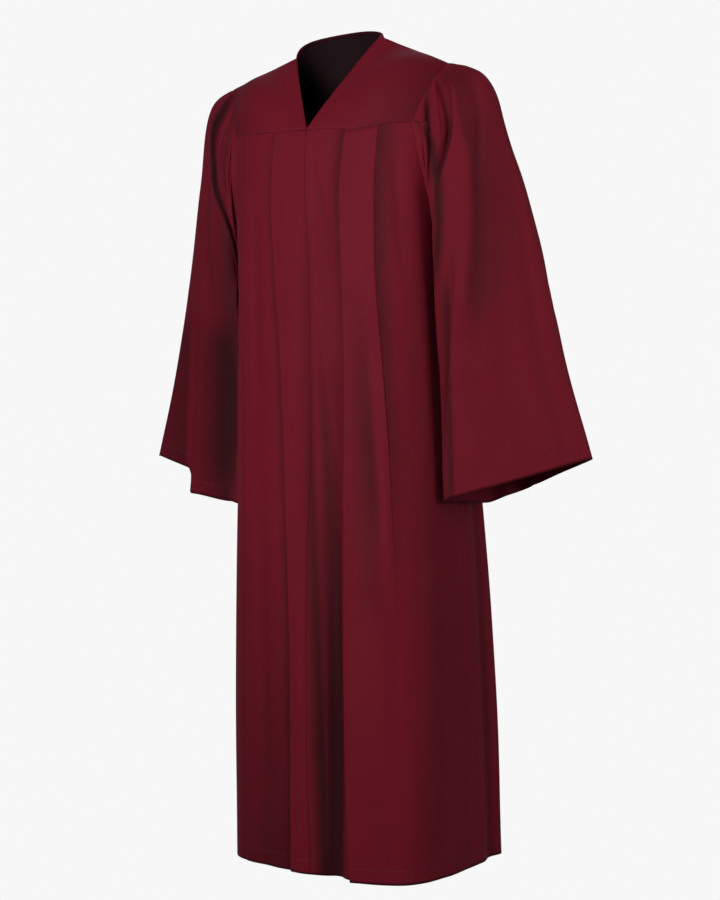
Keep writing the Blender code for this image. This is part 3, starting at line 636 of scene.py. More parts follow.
def front_grid(side):
    """A front: points, normals, flat cut, distance from the hem's stitching and shade."""
    sign = SIGN[side]
    points, normals, folds = [], [], []
    for drop in FRONT_DROPS:
        edge = armhole_edges(drop)[0][IN_PAIR[side]]
        closure = smooth_curve(drop, LEVELS, CLOSURE_GIRTHS)[0]
        girths, layers, near = front_columns(side, drop, closure, edge)
        row, outward = body_row(drop, girths)
        out = front_relief(drop, girths, layers, near) * ease(drop - YOKE_DROP, PLEAT_TOP_FADE)
        out *= EDGE_RELIEF + (1 - EDGE_RELIEF) * ease(np.abs(girths - edge), SEAM_FADE)
        hidden = np.zeros(len(girths), dtype=bool)
        for pleat in layers:
            beyond = (girths - pleat_value(drop, pleat, PLEAT_GIRTHS)) * PLEAT_SHAPES["side"][pleat] > 0
            hidden |= (near == pleat) & beyond & (layers[pleat] < 0.5)
        # Painted shade in the folds and along the pleats of this row
        painted_row_shade = front_shade(drop, girths, painted_fold_shade(girths, out, ~hidden))
        out -= SEAM_DIP * np.exp(-(drop - YOKE_DROP) / SEAM_WIDTH)
        from_closure = np.abs(girths - closure)
        out -= SEAM_DIP * np.exp(-from_closure / CLOSURE_WIDTH)
        if side == "right":
            out -= SEAM_DIP * WELT_DIP * np.exp(-(((from_closure - ZIP_WELT) / WELT_WIDTH) ** 2))
        row = row + outward * out[:, None]
        across = (girths - closure) / (edge - closure)
        hang = 1 - ease(drop - YOKE_DROP, ARMPIT_DROP - YOKE_DROP)
        row[:, 2] += YOKE_LIFT[side] * across * hang
        row[:, 2] -= np.interp(girths, YOKE_WAVE["girth"], YOKE_WAVE["dip"]) * hang
        row[0, 0] += sign * SEAM_GAP
        if side == "right":
            inside = row[0] - outward[0] * ZIP_DEPTH
            lap = unit(row[0] - row[1]) * ZIP_LAP
            row = np.concatenate([[inside + lap, inside], row])
            outward = np.concatenate([outward[:1], outward[:1], outward])
            painted_row_shade = np.concatenate([[1, 1], painted_row_shade])
        points.append(row)
        normals.append(outward)
        folds.append(painted_row_shade)
    points, normals = np.array(points), np.array(normals)
    cut = np.stack([sign * walked(points, 1), -walked(points, 0)], axis=-1)
    stitches = np.repeat((FRONT_DROPS - HEM_DROP + HEM_STITCH)[:, None], points.shape[1], axis=1)
    return points, normals, cut, stitches, np.array(folds)


fronts = {side: front_grid(side) for side in ("left", "right")}
for side in fronts:
    front_cloth = cloth_piece("cloth_front_" + side, *fronts[side])
    sew_on(front_cloth, "front_" + side, ["yoke_front_" + side])


# Front yoke
# Two smooth flat pieces over the chest, one each side of the V neck. They are sewn to the pleated
# fronts below, to the back yoke at the shoulder and to the sleeves at the armholes.
NECK_HALF = 0.0825
NECK_DROP = {"left": -0.006, "right": 0.008}
SHOULDER_TIP = {"left": (0.199, 0.010, -0.046), "right": (-0.216, 0.006, -0.042)}
YOKE_BULGE = table("across  deep", (0.0, 0.003), (0.2, 0.010), (0.55, 0.022), (1.0, 0.007))
YOKE_LEAN = (0, -0.8, 0.6)
ARCH_START = 5.0
ARCH_END = 3.5
YOKE_SHADE = 0.42
YOKE_ROWS = 46
YOKE_COLUMNS = 76
YOKE_SAG = 0.0009
YOKE_STITCH = 0.0022
YOKE_SEAM_WIDTH = 0.0016


def shoulder_seam(side, along):
    """Points of a shoulder seam, from the side neck point to the shoulder tip."""
    neck = np.array([SIGN[side] * NECK_HALF, 0.0, -NECK_DROP[side]])
    tip = np.array(SHOULDER_TIP[side])
    return neck + np.asarray(along)[:, None] * (tip - neck)


def crowded(count):
    """Shares from 0 to 1 that lie closer together at both ends, for seams that dip."""
    share = np.linspace(0, 1, count)
    return share - 0.85 * np.sin(2 * np.pi * share) / (2 * np.pi)


def arched(top, bottom, lean, bulges, rows):
    """A patch between two rows of points, arched outwards over the shoulder."""
    t = crowded(rows)[:, None, None]
    chord = bottom - top
    arch = bulges[:, None] * np.array(lean)
    start = chord + ARCH_START * arch
    end = chord - ARCH_END * arch
    return top + t * (start + t * (3 * chord - 2 * start - end + t * (start + end - 2 * chord)))


def grid_normals(points, outward):
    """Normals of a grid, turned the way that the outward vector mostly points."""
    normals = unit(np.cross(np.gradient(points, axis=0), np.gradient(points, axis=1)))
    return normals * np.sign(np.sum(normals * outward))


def front_yoke_form(side):
    """Half of the front yoke's smooth form, above the top row of its front."""
    edge = armhole_edges(YOKE_DROP)[0][IN_PAIR[side]]
    girths = edge * crowded(YOKE_COLUMNS)
    seam, outward = body_row(YOKE_DROP, girths)
    across = girths / edge
    seam[:, 2] += YOKE_LIFT[side] * across - np.interp(girths, YOKE_WAVE["girth"], YOKE_WAVE["dip"])
    reach = np.abs(seam[:, 0] / seam[-1, 0])
    bulges = smooth_curve(reach, YOKE_BULGE["across"], YOKE_BULGE["deep"])
    points = arched(shoulder_seam(side, reach), seam, YOKE_LEAN, bulges, YOKE_ROWS)
    normals = grid_normals(points, np.array(YOKE_LEAN))
    normals[-1] = outward
    return points, normals


def seam_dips(points, edges):
    """How far cloth dips into the seams along the named edges of its grid."""
    down = walked(points, 0)
    over = walked(points, 1)
    away = {"top": down, "bottom": down[-1] - down, "first": over, "last": over[:, -1:] - over}
    return np.minimum(sum(np.exp(-away[edge] / YOKE_SEAM_WIDTH) for edge in edges), 1) * SEAM_DIP


yoke_edges = {}
for side in ("left", "right"):
    yoke_points, yoke_normals = front_yoke_form(side)
    dips = seam_dips(yoke_points, ("top", "bottom", "last"))
    down = walked(yoke_points, 0)
    over = walked(yoke_points, 1)
    sag = YOKE_SAG * np.sin(over * 70 + 1.0) * np.sin(down * 45 + (side == "left"))
    yoke_points = yoke_points + yoke_normals * (sag - dips)[..., None]
    yoke_edges[side] = yoke_points[:, -1]
    yoke_cut = np.stack([over, -down], axis=-1)
    yoke_stitches = down[-1] - down - YOKE_STITCH
    # Painted shade, growing towards the armhole
    yoke_shade = YOKE_SHADE * (over / over[:, -1:]) ** 2
    yoke_cloth = cloth_piece(
        "cloth_yoke_front_" + side, yoke_points, yoke_normals, yoke_cut, yoke_stitches, yoke_shade, shaded_inside=True
    )
    sew_on(yoke_cloth, "yoke_front_" + side, ["yoke_back"])


# Back yoke
# One piece over the shoulders, cut to the round of the neck, with the back gathered in below it.
NECK_BACK = 0.053
NECK_RISE = 0.032
NECK_SHIFT = 0.007
NECK_FULLNESS = {"left": 0.95, "right": 0.62}
NECK_SHARE = 0.45
BACK_BULGE = table("across  deep", (0.0, 0.008), (0.45, 0.012), (0.7, 0.022), (1.0, 0.010))
BACK_YOKE_LEAN = (0, 0.8, 0.6)
BACK_YOKE_COLUMNS = (50, 70, 50)


def back_girths(drop, counts):
    """Girths of the back's columns about its middle, from its left edge to its right one."""
    girth = section(drop)[2]
    half = (girth[-1] - girth[0]) / 2
    right, left = armhole_edges(drop)[1]
    start, end = left - half, right + half
    stops = (start, start * NECK_SHARE, end * NECK_SHARE, end)
    runs = [np.linspace(stops[i], stops[i + 1], counts[i], endpoint=i == 2) for i in range(3)]
    return np.concatenate(runs), half


def back_yoke_form():
    """The back yoke's smooth form, above the top row of the back."""
    columns, half = back_girths(BACK_YOKE_DROP, BACK_YOKE_COLUMNS)
    seam, outward = body_row(BACK_YOKE_DROP, columns + half)
    middle = (seam[0, 0] + seam[-1, 0]) / 2
    reach = (seam[:, 0] - middle) / np.ptp(seam[:, 0]) * 2
    at_neck = abs(reach[BACK_YOKE_COLUMNS[0]])
    top = np.empty_like(seam)
    for i, across in enumerate(reach):
        side = "left" if across > 0 else "right"
        if abs(across) >= at_neck:
            top[i] = shoulder_seam(side, [(abs(across) - at_neck) / (1 - at_neck)])[0]
        else:
            turn = np.pi / 2 * (1 - abs(across) / at_neck)
            drop = NECK_DROP[side] * (1 - np.sin(turn)) ** 3
            top[i] = (
                np.sign(across) * NECK_HALF * np.cos(turn) - NECK_SHIFT * np.sin(turn),
                NECK_BACK * np.sin(turn),
                NECK_RISE * np.sin(turn) ** NECK_FULLNESS[side] - drop,
            )
    bulges = smooth_curve(np.abs(reach), BACK_BULGE["across"], BACK_BULGE["deep"])
    points = arched(top, seam, BACK_YOKE_LEAN, bulges, YOKE_ROWS)
    normals = grid_normals(points, np.array(BACK_YOKE_LEAN))
    normals[-1] = outward
    return points, normals


rear_points, rear_normals = back_yoke_form()
rear_dips = seam_dips(rear_points, ("bottom", "first", "last"))
on_shoulder = np.ones(rear_points.shape[1])
on_shoulder[BACK_YOKE_COLUMNS[0] : -BACK_YOKE_COLUMNS[2]] = 0
rear_dips += np.exp(-walked(rear_points, 0) / YOKE_SEAM_WIDTH) * SEAM_DIP * on_shoulder
rear_down = walked(rear_points, 0)
rear_over = walked(rear_points, 1)
rear_sewn = rear_points - rear_normals * rear_dips[..., None]
rear_cloth = cloth_piece(
    "cloth_yoke_back",
    rear_sewn,
    rear_normals,
    np.stack([rear_over - rear_over[:, -1:] / 2, -rear_down], axis=-1),
    rear_down[-1] - rear_down - YOKE_STITCH,
    shaded_inside=True,
)
sew_on(rear_cloth, "yoke_back", ["back"])


# Neck turning
# All round the neck the yokes' cloth is turned under and pressed, which leaves a narrow rounded
# edge. Shade is painted on it at the back of the neck.
TURN_RADIUS = 0.0012
TURN_DEPTH = 0.003
TURN_SHADE = 0.9
NECK_CENTRE = (0, 0, 0.08)
TURN_START = 4
TURN_WALL = 0.0006
TURN_SMOOTHINGS = 6
FLAT_COLUMNS = 6

left_points, left_normals = front_yoke_form("left")
right_points, right_normals = front_yoke_form("right")
at_neck = slice(BACK_YOKE_COLUMNS[0], -BACK_YOKE_COLUMNS[2])
left_edge, right_edge = slice(-TURN_START, 0, -1), slice(1, -TURN_START)
neck_line, neck_outward = (
    np.concatenate([left[left_edge, 0], rear[0, at_neck], right[right_edge, 0]])
    for left, rear, right in (
        (left_points, rear_points, right_points),
        (left_normals, rear_normals, right_normals),
    )
)
for _ in range(TURN_SMOOTHINGS):
    neck_outward[1:-1] = neck_outward[:-2] + 2 * neck_outward[1:-1] + neck_outward[2:]
    neck_outward = unit(neck_outward)
into_cloth = unit(np.cross(neck_outward, np.gradient(neck_line, axis=0)))
into_cloth *= np.sign(np.sum(into_cloth * (neck_line - NECK_CENTRE), axis=-1, keepdims=True))
bend = np.linspace(0.5 * np.pi, 1.5 * np.pi, 9)
turn_over = np.concatenate([np.cos(bend) * TURN_RADIUS, np.linspace(0.0015, TURN_DEPTH, FLAT_COLUMNS)])
turn_out = np.concatenate([(np.sin(bend) - 1) * TURN_RADIUS, np.full(FLAT_COLUMNS, -2 * TURN_RADIUS)])
faces_over = np.concatenate([np.cos(bend), np.zeros(FLAT_COLUMNS)])
faces_out = np.concatenate([np.sin(bend), np.full(FLAT_COLUMNS, -1.0)])
turn_points, turn_faces = (
    base + into_cloth[:, None] * over[:, None] + neck_outward[:, None] * out[:, None]
    for base, over, out in ((neck_line[:, None], turn_over, turn_out), (0, faces_over, faces_out))
)
turn_cut = np.stack([walked(turn_points, 1), walked(turn_points, 0)], axis=-1)
turn_shade = np.repeat(TURN_SHADE * ease(neck_line[:, 1:2], 0.02), len(turn_over), axis=1)
turn_cloth = cloth_piece(
    "cloth_neck_turning", turn_points, turn_faces, turn_cut, np.ones(turn_points.shape[:2]), turn_shade,
    wall=TURN_WALL,
)
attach(turn_cloth, "root")


# Back
# One wide cut length, drawn up in fine gathers under the back yoke, from which it falls in uneven
# flutes to the hem.
FLUTES = 9
FLUTE_DEPTH = table("drop  deep", (0.150, 0.002), (0.335, 0.005), (0.72, 0.009), (1.295, 0.014))
CALM_SIDE = 0.60
GATHERS = 26
GATHER_DEPTH = 0.0022
GATHER_LENGTH = 0.055
BACK_ROWS = 200
BACK_COLUMNS = (60, 110, 60)
BACK_DROPS = BACK_YOKE_DROP + (HEM_DROP - BACK_YOKE_DROP) * np.linspace(0, 1, BACK_ROWS) ** 1.15

back_rows = []
for drop in BACK_DROPS:
    columns, half = back_girths(drop, BACK_COLUMNS)
    row, outward = body_row(drop, columns + half)
    across = np.where(columns < 0, -columns / columns[0], columns / columns[-1])
    drift = 0.10 * np.sin(across * 7.0 + 1.3) + 0.05 * np.sin(across * 15.0 + drop * 2.0)
    calm = 1 - ease(np.abs(across) - CALM_SIDE, 0.32)
    wave = np.cos(np.pi * FLUTES * across + drift * 3.0) * calm
    uneven = 1 + 0.28 * np.sin(across * 11.0 + 0.7)
    below = drop - BACK_YOKE_DROP
    out = wave * read(FLUTE_DEPTH, "deep", drop) * uneven * ease(below, SEAM_FADE)
    ripple = np.sin(np.pi * GATHERS * across + 2.0 * np.sin(across * 9.0))
    out += GATHER_DEPTH * ripple * ease(below, 0.006) * np.exp(-below / GATHER_LENGTH) * (1 - across**8)
    out += unevenness(drop, columns + half) * calm
    shade = painted_fold_shade(columns, out)
    out -= SEAM_DIP * np.exp(-below / SEAM_WIDTH)
    flat = np.stack([columns, np.full(len(columns), -drop)], axis=-1)
    from_stitches = np.full(len(columns), drop - HEM_DROP + HEM_STITCH)
    back_rows.append((row + outward * out[:, None], outward, flat, from_stitches, shade))
back_grid = [np.array(rows) for rows in zip(*back_rows)]
back_cloth = cloth_piece("cloth_back", *back_grid)
sew_on(back_cloth, "back", ["yoke_back"])


# Sleeves
# Each bell sleeve is one cut length joined into a wide tube. Its head is gathered into the armhole,
# and from there it hangs in long folds to a turned and stitched cuff.
FRONT_SIZES = "along  front_out front_y front_drop  outer_out outer_y outer_drop  front_bulge"
BACK_SIZES = "back_out back_y back_drop  inner_out inner_y inner_drop  back_bulge pit_sag"
SLEEVE_FRONT = {
    "left": table(
        FRONT_SIZES,
        (0.10, 0.186, -0.036, 0.215, 0.252, 0.012, 0.066, 0.022),
        (0.30, 0.197, -0.030, 0.300, 0.296, 0.038, 0.200, 0.036),
        (0.55, 0.196, -0.016, 0.420, 0.339, 0.060, 0.375, 0.028),
        (0.78, 0.197, -0.005, 0.560, 0.366, 0.078, 0.520, 0.014),
        (1.00, 0.203, 0.000, 0.715, 0.400, 0.095, 0.651, 0.002),
    ),
    "right": table(
        FRONT_SIZES,
        (0.10, 0.186, -0.036, 0.215, 0.251, 0.002, 0.062, 0.022),
        (0.30, 0.197, -0.030, 0.300, 0.282, 0.006, 0.190, 0.030),
        (0.55, 0.196, -0.016, 0.420, 0.318, 0.012, 0.375, 0.018),
        (0.78, 0.199, -0.005, 0.560, 0.357, 0.018, 0.520, 0.008),
        (1.00, 0.206, 0.000, 0.730, 0.405, 0.030, 0.654, 0.002),
    ),
}
SLEEVE_BACK = {
    "left": table(
        BACK_SIZES,
        (0.215, 0.120, 0.140, 0.187, 0.120, 0.270, 0.006, 0.130),
        (0.240, 0.140, 0.250, 0.197, 0.130, 0.350, 0.010, 0.105),
        (0.252, 0.150, 0.400, 0.200, 0.132, 0.460, 0.008, 0.075),
        (0.256, 0.154, 0.552, 0.204, 0.126, 0.586, 0.006, 0.030),
        (0.258, 0.154, 0.700, 0.208, 0.118, 0.722, 0.002, 0.000),
    ),
    "right": table(
        BACK_SIZES,
        (0.215, 0.120, 0.140, 0.187, 0.120, 0.270, 0.010, 0.130),
        (0.250, 0.135, 0.250, 0.197, 0.130, 0.350, 0.010, 0.105),
        (0.262, 0.140, 0.400, 0.200, 0.132, 0.460, 0.010, 0.075),
        (0.275, 0.140, 0.555, 0.204, 0.128, 0.580, 0.008, 0.030),
        (0.290, 0.140, 0.690, 0.209, 0.122, 0.722, 0.006, 0.000),
    ),
}
SLEEVE = {side: {**SLEEVE_FRONT[side], **SLEEVE_BACK[side]} for side in SLEEVE_FRONT}
CORNERS = ("outer", "front", "inner", "back")
BULGES = ("front_bulge", "", "back_bulge", "")
SLEEVE_ROWS = 170
SLEEVE_COLUMNS = 250
YOKE_TURNS = 1.5
BACK_YOKE_TURNS = 5.3
SLEEVE_CLEARANCE = 0.0085
CUFF_STEP = {"left": 0.0, "right": 0.020}
CUFF_STEP_TURN = 0.86
CUFF_STEP_WIDTH = 0.12
CUFF_SAG = 0.45

# Folds of the sleeves. Turns go round a sleeve: 0 at the shoulder tip and outer fold, 2 at the
# front corner, 4 at the inner corner and 6 at the back one. A fold's turns are given at six shares
# of the sleeve's length, and a side works as on the fronts, past the line where it is 1.
FOLD_SHARES = (0.0, 0.05, 0.12, 0.25, 0.50, 1.0)
FOLD_PLACES = "head seam crown upper middle cuff"
SLEEVE_FOLDS = {
    "left": table(
        FOLD_PLACES + " side edge  short past  start end deep",
        (0.18, 0.55, 1.10, 1.72, 2.00, 2.10, -1, 0.007, 0.030, 0.030, -0.10, 0.70, 0.0130),
        (0.85, 1.35, 1.75, 2.10, 2.30, 2.30, 0, 0, 0.0045, 0.0055, -0.02, 0.22, -0.0085),
        (0.50, 1.02, 1.46, 1.95, 2.20, 2.20, 0, 0, 0.0040, 0.0040, -0.02, 0.16, 0.0030),
        (1.35, 1.72, 2.00, 2.20, 2.30, 2.30, 0, 0, 0.0050, 0.0050, -0.02, 0.16, -0.0065),
        (0.42, 0.78, 1.22, 1.80, 2.05, 2.10, 0, 0, 0.0050, 0.0060, -0.02, 0.20, -0.0045),
        (0.05, 0.25, 0.42, 0.80, 1.16, 1.40, 0, 0, 0.0160, 0.0120, 0.02, 0.72, -0.0050),
        (1.00, 1.10, 1.20, 1.35, 1.52, 2.10, -1, 0.008, 0.020, 0.020, 0.38, 0.92, 0.0050),
        (7.60, 7.66, 7.72, 7.84, 8.14, 8.25, 0, 0, 0.0280, 0.0150, 0.10, 1.30, 0.0050),
        (7.85, 7.70, 7.55, 7.45, 7.42, 7.40, 0, 0, 0.0080, 0.0080, -0.02, 0.55, -0.0055),
        (7.45, 7.30, 7.15, 7.05, 6.90, 6.80, 0, 0, 0.0070, 0.0070, -0.02, 0.75, -0.0065),
        (7.00, 6.85, 6.70, 6.55, 6.42, 6.30, 0, 0, 0.0080, 0.0080, -0.02, 1.10, -0.0065),
        (6.55, 6.35, 6.20, 6.05, 5.85, 5.60, 0, 0, 0.0080, 0.0100, -0.02, 0.85, -0.0060),
        (6.10, 5.90, 5.70, 5.50, 5.30, 5.20, 0, 0, 0.0080, 0.0080, -0.02, 0.40, -0.0050),
        (5.60, 5.40, 5.25, 5.10, 4.90, 4.80, 0, 0, 0.0080, 0.0100, -0.02, 0.70, -0.0045),
    ),
    "right": table(
        FOLD_PLACES + " side edge  short past  start end deep",
        (0.22, 0.52, 0.66, 1.98, 2.10, 2.10, -1, 0.007, 0.030, 0.030, -0.10, 0.66, 0.0130),
        (0.62, 0.85, 1.15, 2.05, 2.20, 2.20, 0, 0, 0.0045, 0.0050, -0.02, 0.20, -0.0075),
        (0.98, 1.22, 1.62, 2.10, 2.20, 2.20, 0, 0, 0.0045, 0.0050, -0.02, 0.18, -0.0065),
        (1.30, 1.60, 1.90, 2.20, 2.20, 2.20, 0, 0, 0.0045, 0.0050, -0.02, 0.14, -0.0055),
        (0.60, 0.62, 0.66, 0.72, 0.82, 0.88, 1, 0.006, 0.050, 0.030, 0.55, 1.60, 0.0120),
        (0.80, 0.84, 0.90, 1.00, 1.30, 1.60, 0, 0, 0.0180, 0.0180, 0.15, 0.70, -0.0040),
        (1.70, 1.75, 1.80, 1.84, 1.86, 1.84, 0, 0, 0.0100, 0.0080, 0.68, 1.00, -0.0060),
        (7.85, 7.72, 7.60, 7.50, 7.42, 7.40, 0, 0, 0.0080, 0.0080, -0.02, 0.55, -0.0055),
        (7.45, 7.32, 7.20, 7.10, 6.95, 6.85, 0, 0, 0.0070, 0.0070, -0.02, 0.85, -0.0065),
        (7.00, 6.80, 6.62, 6.50, 6.35, 6.20, 0, 0, 0.0080, 0.0080, -0.02, 1.10, -0.0065),
        (6.50, 6.30, 6.15, 6.00, 5.80, 5.50, 0, 0, 0.0080, 0.0100, -0.02, 0.80, -0.0060),
        (6.05, 5.85, 5.65, 5.45, 5.30, 5.20, 0, 0, 0.0080, 0.0080, -0.02, 0.45, -0.0050),
        (5.60, 5.40, 5.20, 5.05, 4.90, 4.80, 0, 0, 0.0080, 0.0100, -0.02, 0.70, -0.0045),
    ),
}
# Shade in the sleeves' folds, along lines that are given in the same way
SHADE_START = 0.12
SHADE_END = 0.15
SLEEVE_SHADES = {
    "left": table(
        FOLD_PLACES + " short past  start end dark",
        (0.25, 0.42, 0.80, 0.88, 1.25, 1.50, 0.052, 0.0080, -0.04, 0.68, 0.46),
        (0.75, 1.38, 1.62, 1.64, 1.86, 1.90, 0.009, 0.0120, -0.06, 0.55, 0.85),
        (0.20, 0.50, 1.33, 1.58, 1.70, 1.70, 0.004, 0.0040, -0.04, 0.34, 0.35),
        (1.50, 1.50, 1.50, 1.55, 1.64, 1.82, 0.003, 0.0140, 0.46, 1.20, 0.65),
    ),
    "right": table(
        FOLD_PLACES + " short past  start end dark",
        (0.22, 0.50, 0.68, 1.90, 1.95, 1.72, 0.0080, 0.0080, -0.06, 0.46, 0.97),
        (1.90, 1.90, 1.90, 1.96, 1.93, 1.72, 0.0260, 0.0120, 0.20, 1.20, 0.68),
        (1.80, 1.80, 1.80, 1.80, 1.80, 1.65, 0.0550, 0.0120, 0.55, 1.04, 0.90),
        (0.40, 0.40, 0.40, 0.40, 0.40, 0.72, 0.0600, 0.0060, 0.56, 1.20, 0.55),
        (0.85, 1.15, 1.55, 1.90, 1.90, 1.90, 0.0060, 0.0060, -0.10, 0.22, 0.45),
        (1.00, 1.00, 1.00, 1.00, 1.00, 1.00, 0.2000, 0.2000, 0.00, 1.20, 0.15),
    ),
}


def armhole_rim(side):
    """The armhole's sewn rim and its turns: down the front to the armpit and up the back."""
    column = 0 if side == "left" else -1
    rear_edge = rear_sewn[:, column]
    front_low = (FRONT_DROPS[FRONT_DROPS < ARMPIT_DROP] - YOKE_DROP) / (ARMPIT_DROP - YOKE_DROP)
    back_low = (BACK_DROPS[BACK_DROPS < ARMPIT_DROP] - BACK_YOKE_DROP) / (ARMPIT_DROP - BACK_YOKE_DROP)
    front_edge = fronts[side][0][: len(front_low), -1]
    back_edge = back_grid[0][: len(back_low), column]
    share = crowded(YOKE_ROWS)
    rim = np.concatenate([yoke_edges[side], front_edge[1:], back_edge[::-1], rear_edge[-2:0:-1]])
    turns = np.concatenate([
        YOKE_TURNS * share,
        YOKE_TURNS + (3 - YOKE_TURNS) * front_low[1:],
        3 + (BACK_YOKE_TURNS - 3) * (1 - back_low[::-1]),
        BACK_YOKE_TURNS + (8 - BACK_YOKE_TURNS) * (1 - share[-2:0:-1]),
    ])
    return rim, turns


def sleeve_form(side):
    """A sleeve's smooth grid, with the turns of its columns and its rows' shares of the length."""
    sizes = SLEEVE[side]
    sign = SIGN[side]
    corners = [
        np.stack([sign * sizes[name + "_out"], sizes[name + "_y"], -sizes[name + "_drop"]], axis=-1)
        for name in CORNERS
    ]
    loops = []
    for i, corner in enumerate(corners):
        after = corners[(i + 1) % 4]
        loops.append(corner)
        chord = unit(after - corner)
        outward = np.stack([sign * -chord[:, 1], sign * chord[:, 0], 0 * chord[:, 0]], axis=-1)
        bulge = sizes[BULGES[i]] if BULGES[i] else 0 * sizes["along"]
        middle = (corner + after) / 2 + outward * bulge[:, None]
        if CORNERS[i] == "front":
            middle[:, 2] -= sizes["pit_sag"]
        loops.append(middle)
    sections = np.stack(loops, axis=1)
    wrapped = np.concatenate([sections[:, -2:], sections, sections[:, :3]], axis=1)
    columns = np.linspace(0, 8, SLEEVE_COLUMNS, endpoint=False)
    columns = (columns - 0.35 * np.sin(2 * np.pi * (columns - 1.0) / 8)) % 8
    columns = np.sort(columns)
    rim, turns = armhole_rim(side)
    head = np.stack([np.interp(columns, turns, rim[:, i], period=8) for i in range(3)], axis=-1)
    rings = np.stack([smooth_curve(columns, np.arange(-2, 11), loop) for loop in wrapped])
    along = np.linspace(0, 1, SLEEVE_ROWS) ** 1.35
    points = smooth_curve(along, [0, *sizes["along"]], np.concatenate([head[None], rings]))
    step = 2 * ease(columns - CUFF_STEP_TURN + CUFF_STEP_WIDTH / 2, CUFF_STEP_WIDTH) - 1
    near = np.clip(1 - np.abs(columns - CUFF_STEP_TURN), 0, 1)
    points[..., 2] -= CUFF_STEP[side] * ease(along - 0.6, 0.4)[:, None] * ((step + CUFF_SAG) * near)[None]
    return points, columns, along


def ring_normals(points):
    """Outward normals of a grid whose columns close into rings."""
    around = np.concatenate([points[:, -1:], points, points[:, :1]], axis=1)
    outward = around - points.mean(axis=1, keepdims=True)
    return grid_normals(around, outward)[:, 1:-1]


def past_line(lines, i, at, columns, walk):
    """Distances walked round one ring past a fold's line."""
    turn = smooth_curve(at, FOLD_SHARES, [lines[name][i] for name in FOLD_PLACES.split()])[0]
    past = walk[:-1] - np.interp((turn - columns[0]) % 8 + columns[0], [*columns, columns[0] + 8], walk)
    return (past + walk[-1] / 2) % walk[-1] - walk[-1] / 2


def sleeve_relief(side, points, columns, along):
    """How far a sleeve's folds push its cloth out, the walk round each ring and its painted shade."""
    folds, lines = SLEEVE_FOLDS[side], SLEEVE_SHADES[side]
    out = np.zeros(points.shape[:2])
    around = walked(np.concatenate([points, points[:, :1]], axis=1), 1)
    for row, at in enumerate(along):
        walk = around[row]
        for i, share in reaching(at, folds):
            deep = folds["deep"][i] * np.sin(np.pi * share) ** 0.6
            past = past_line(folds, i, at, columns, walk)
            shape = [folds[name][i] for name in ("side", "edge", "past", "short")]
            out[row] += fold_height(past, deep, *shape)
        out[row] += unevenness(at * 0.7, walk[:-1] * 0.8 + 0.3) * 1.4 * ease(at, 0.2)
    out *= ease(along + 0.004, 0.03)[:, None]
    shade = np.array([painted_fold_shade(walk[:-1], row, closed=True) for walk, row in zip(around, out)])
    for row, at in enumerate(along):
        for i, deepest in enumerate(lines["dark"]):
            fade_in = ease(at - lines["start"][i], SHADE_START)
            fade_out = ease(lines["end"][i] - at, SHADE_END)
            past = past_line(lines, i, at, columns, around[row])
            spread = lines["past"][i], lines["short"][i]
            dark = fold_height(past, deepest * fade_in * fade_out, 0, 0, *spread)
            shade[row] = 1 - (1 - shade[row]) * (1 - dark)
    return out, around, shade


def clear_of_body(side, points, along):
    """Sleeve points moved out, where needed, so that the sleeve hangs just clear of the body."""
    sign = SIGN[side]
    drops = np.maximum(-points[..., 2].ravel(), YOKE_DROP)
    size = {name: smooth_curve(np.minimum(drops, HEM_DROP), BODY["drop"], BODY[name]) for name in BODY}
    middle = (size["front"] + size["back"]) / 2
    from_middle = points[..., 1].ravel() - middle
    square = np.where(from_middle < 0, size["front_square"], size["back_square"])
    deep = np.minimum(np.abs(from_middle) / (size["back"] - middle), 1)
    body_side = sign * size["centre"] + size["half_width"] * (1 - deep**square) ** (1 / square)
    wanted = body_side.reshape(points.shape[:2]) + SLEEVE_CLEARANCE * ease(along, 0.03)[:, None]
    beside = (-points[..., 2] > YOKE_DROP) & (deep < 1).reshape(points.shape[:2])
    push = np.where(beside, np.maximum(wanted - sign * points[..., 0], 0), 0)
    push[0] = 0
    moved = points.copy()
    moved[..., 0] += sign * push
    return moved


for side in ("left", "right"):
    sleeve_points, columns, along = sleeve_form(side)
    sewn_head = sleeve_points[0]
    sleeve_normals = ring_normals(sleeve_points)
    # The painted shade of the sleeve's folds comes with its relief
    relief, around, sleeve_painted_shade = sleeve_relief(side, sleeve_points, columns, along)
    sleeve_points = sleeve_points + sleeve_normals * relief[..., None]
    sleeve_points = clear_of_body(side, sleeve_points, along)
    down = walked(sleeve_points, 0)
    dips = SEAM_DIP * np.exp(-down / SEAM_WIDTH)
    sleeve_points = sleeve_points - sleeve_normals * dips[..., None]
    sleeve_points[0] = sewn_head
    length = np.concatenate([down, down[:, :1]], axis=1)
    sleeve_cut = np.stack([around - around[:, -1:] / 2, -length], axis=-1)
    sleeve_stitches = down - down[-1] + HEM_STITCH
    sleeve_cloth = cloth_piece(
        "cloth_sleeve_" + side, sleeve_points, sleeve_normals, sleeve_cut, sleeve_stitches, sleeve_painted_shade,
        closed=True,
    )
    sew_on(
        sleeve_cloth, "sleeve_" + side, ["yoke_front_" + side, "yoke_back"]
    )


# Floor and backdrop
# A plain pale studio floor runs up into a backdrop of the same paleness, with no edge in view.
PALE = 0.93
FLOOR_HEIGHT = -1.50
FILL_LIGHT = 0.14


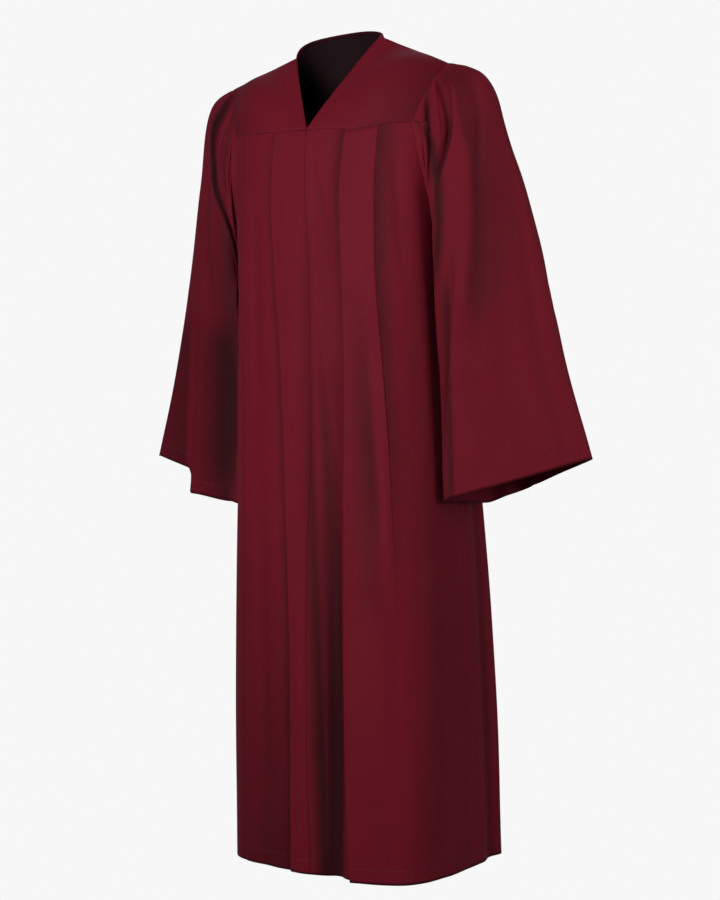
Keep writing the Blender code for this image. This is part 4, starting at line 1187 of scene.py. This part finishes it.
def glow_in_view(tree, strength):
    """Full strength where the camera sees it, and only the fill light's elsewhere."""
    seen = tree.nodes.new("ShaderNodeLightPath")
    glow = tree.nodes.new("ShaderNodeMix")
    glow.inputs["A"].default_value = FILL_LIGHT
    glow.inputs["B"].default_value = 1.0
    tree.links.new(seen.outputs["Is Camera Ray"], glow.inputs["Factor"])
    tree.links.new(glow.outputs["Result"], strength)


bpy.ops.mesh.primitive_plane_add(size=60, location=(0, 0, FLOOR_HEIGHT))
floor = bpy.context.object
floor.name = "studio_floor"
pale_paper, paper = finish(
    "pale_paper",
    Base_Color=(0.0, 0.0, 0.0, 1),
    Roughness=1.0,
    Specular_IOR_Level=0.0,
    Emission_Color=(PALE, PALE, PALE, 1),
)
glow_in_view(pale_paper.node_tree, paper.inputs["Emission Strength"])
floor.data.materials.append(pale_paper)

studio = bpy.data.worlds.new("studio")
studio.use_nodes = True
backdrop = studio.node_tree.nodes["Background"]
backdrop.inputs["Color"].default_value = (PALE, PALE, PALE, 1)
glow_in_view(studio.node_tree, backdrop.inputs["Strength"])
bpy.context.scene.world = studio
bpy.context.scene.view_settings.view_transform = "Standard"


# Lights
# A softbox before the chest, a wider one at the wearer's left, and a weak one high behind.
CHEST_HEIGHT = -0.45


def softbox(name, turn, rise, distance, size, power):
    """A square light that faces the chest from a turn about +Z, in degrees, and a rise above it."""
    lamp = bpy.data.lights.new(name, "AREA")
    lamp.size = size
    lamp.energy = power
    light = bpy.data.objects.new(name, lamp)
    bpy.context.collection.objects.link(light)
    turn, rise = math.radians(turn), math.radians(rise)
    aim = Vector((math.sin(turn) * math.cos(rise), -math.cos(turn) * math.cos(rise), math.sin(rise)))
    light.location = aim * distance + Vector((0, 0, CHEST_HEIGHT))
    light.rotation_euler = aim.to_track_quat("Z", "Y").to_euler()


softbox("key_softbox", 4, 12, 2.2, 1.0, 37)
softbox("side_softbox", 95, 10, 2.6, 1.4, 21)
softbox("back_softbox", 190, 50, 2.6, 1.4, 14)
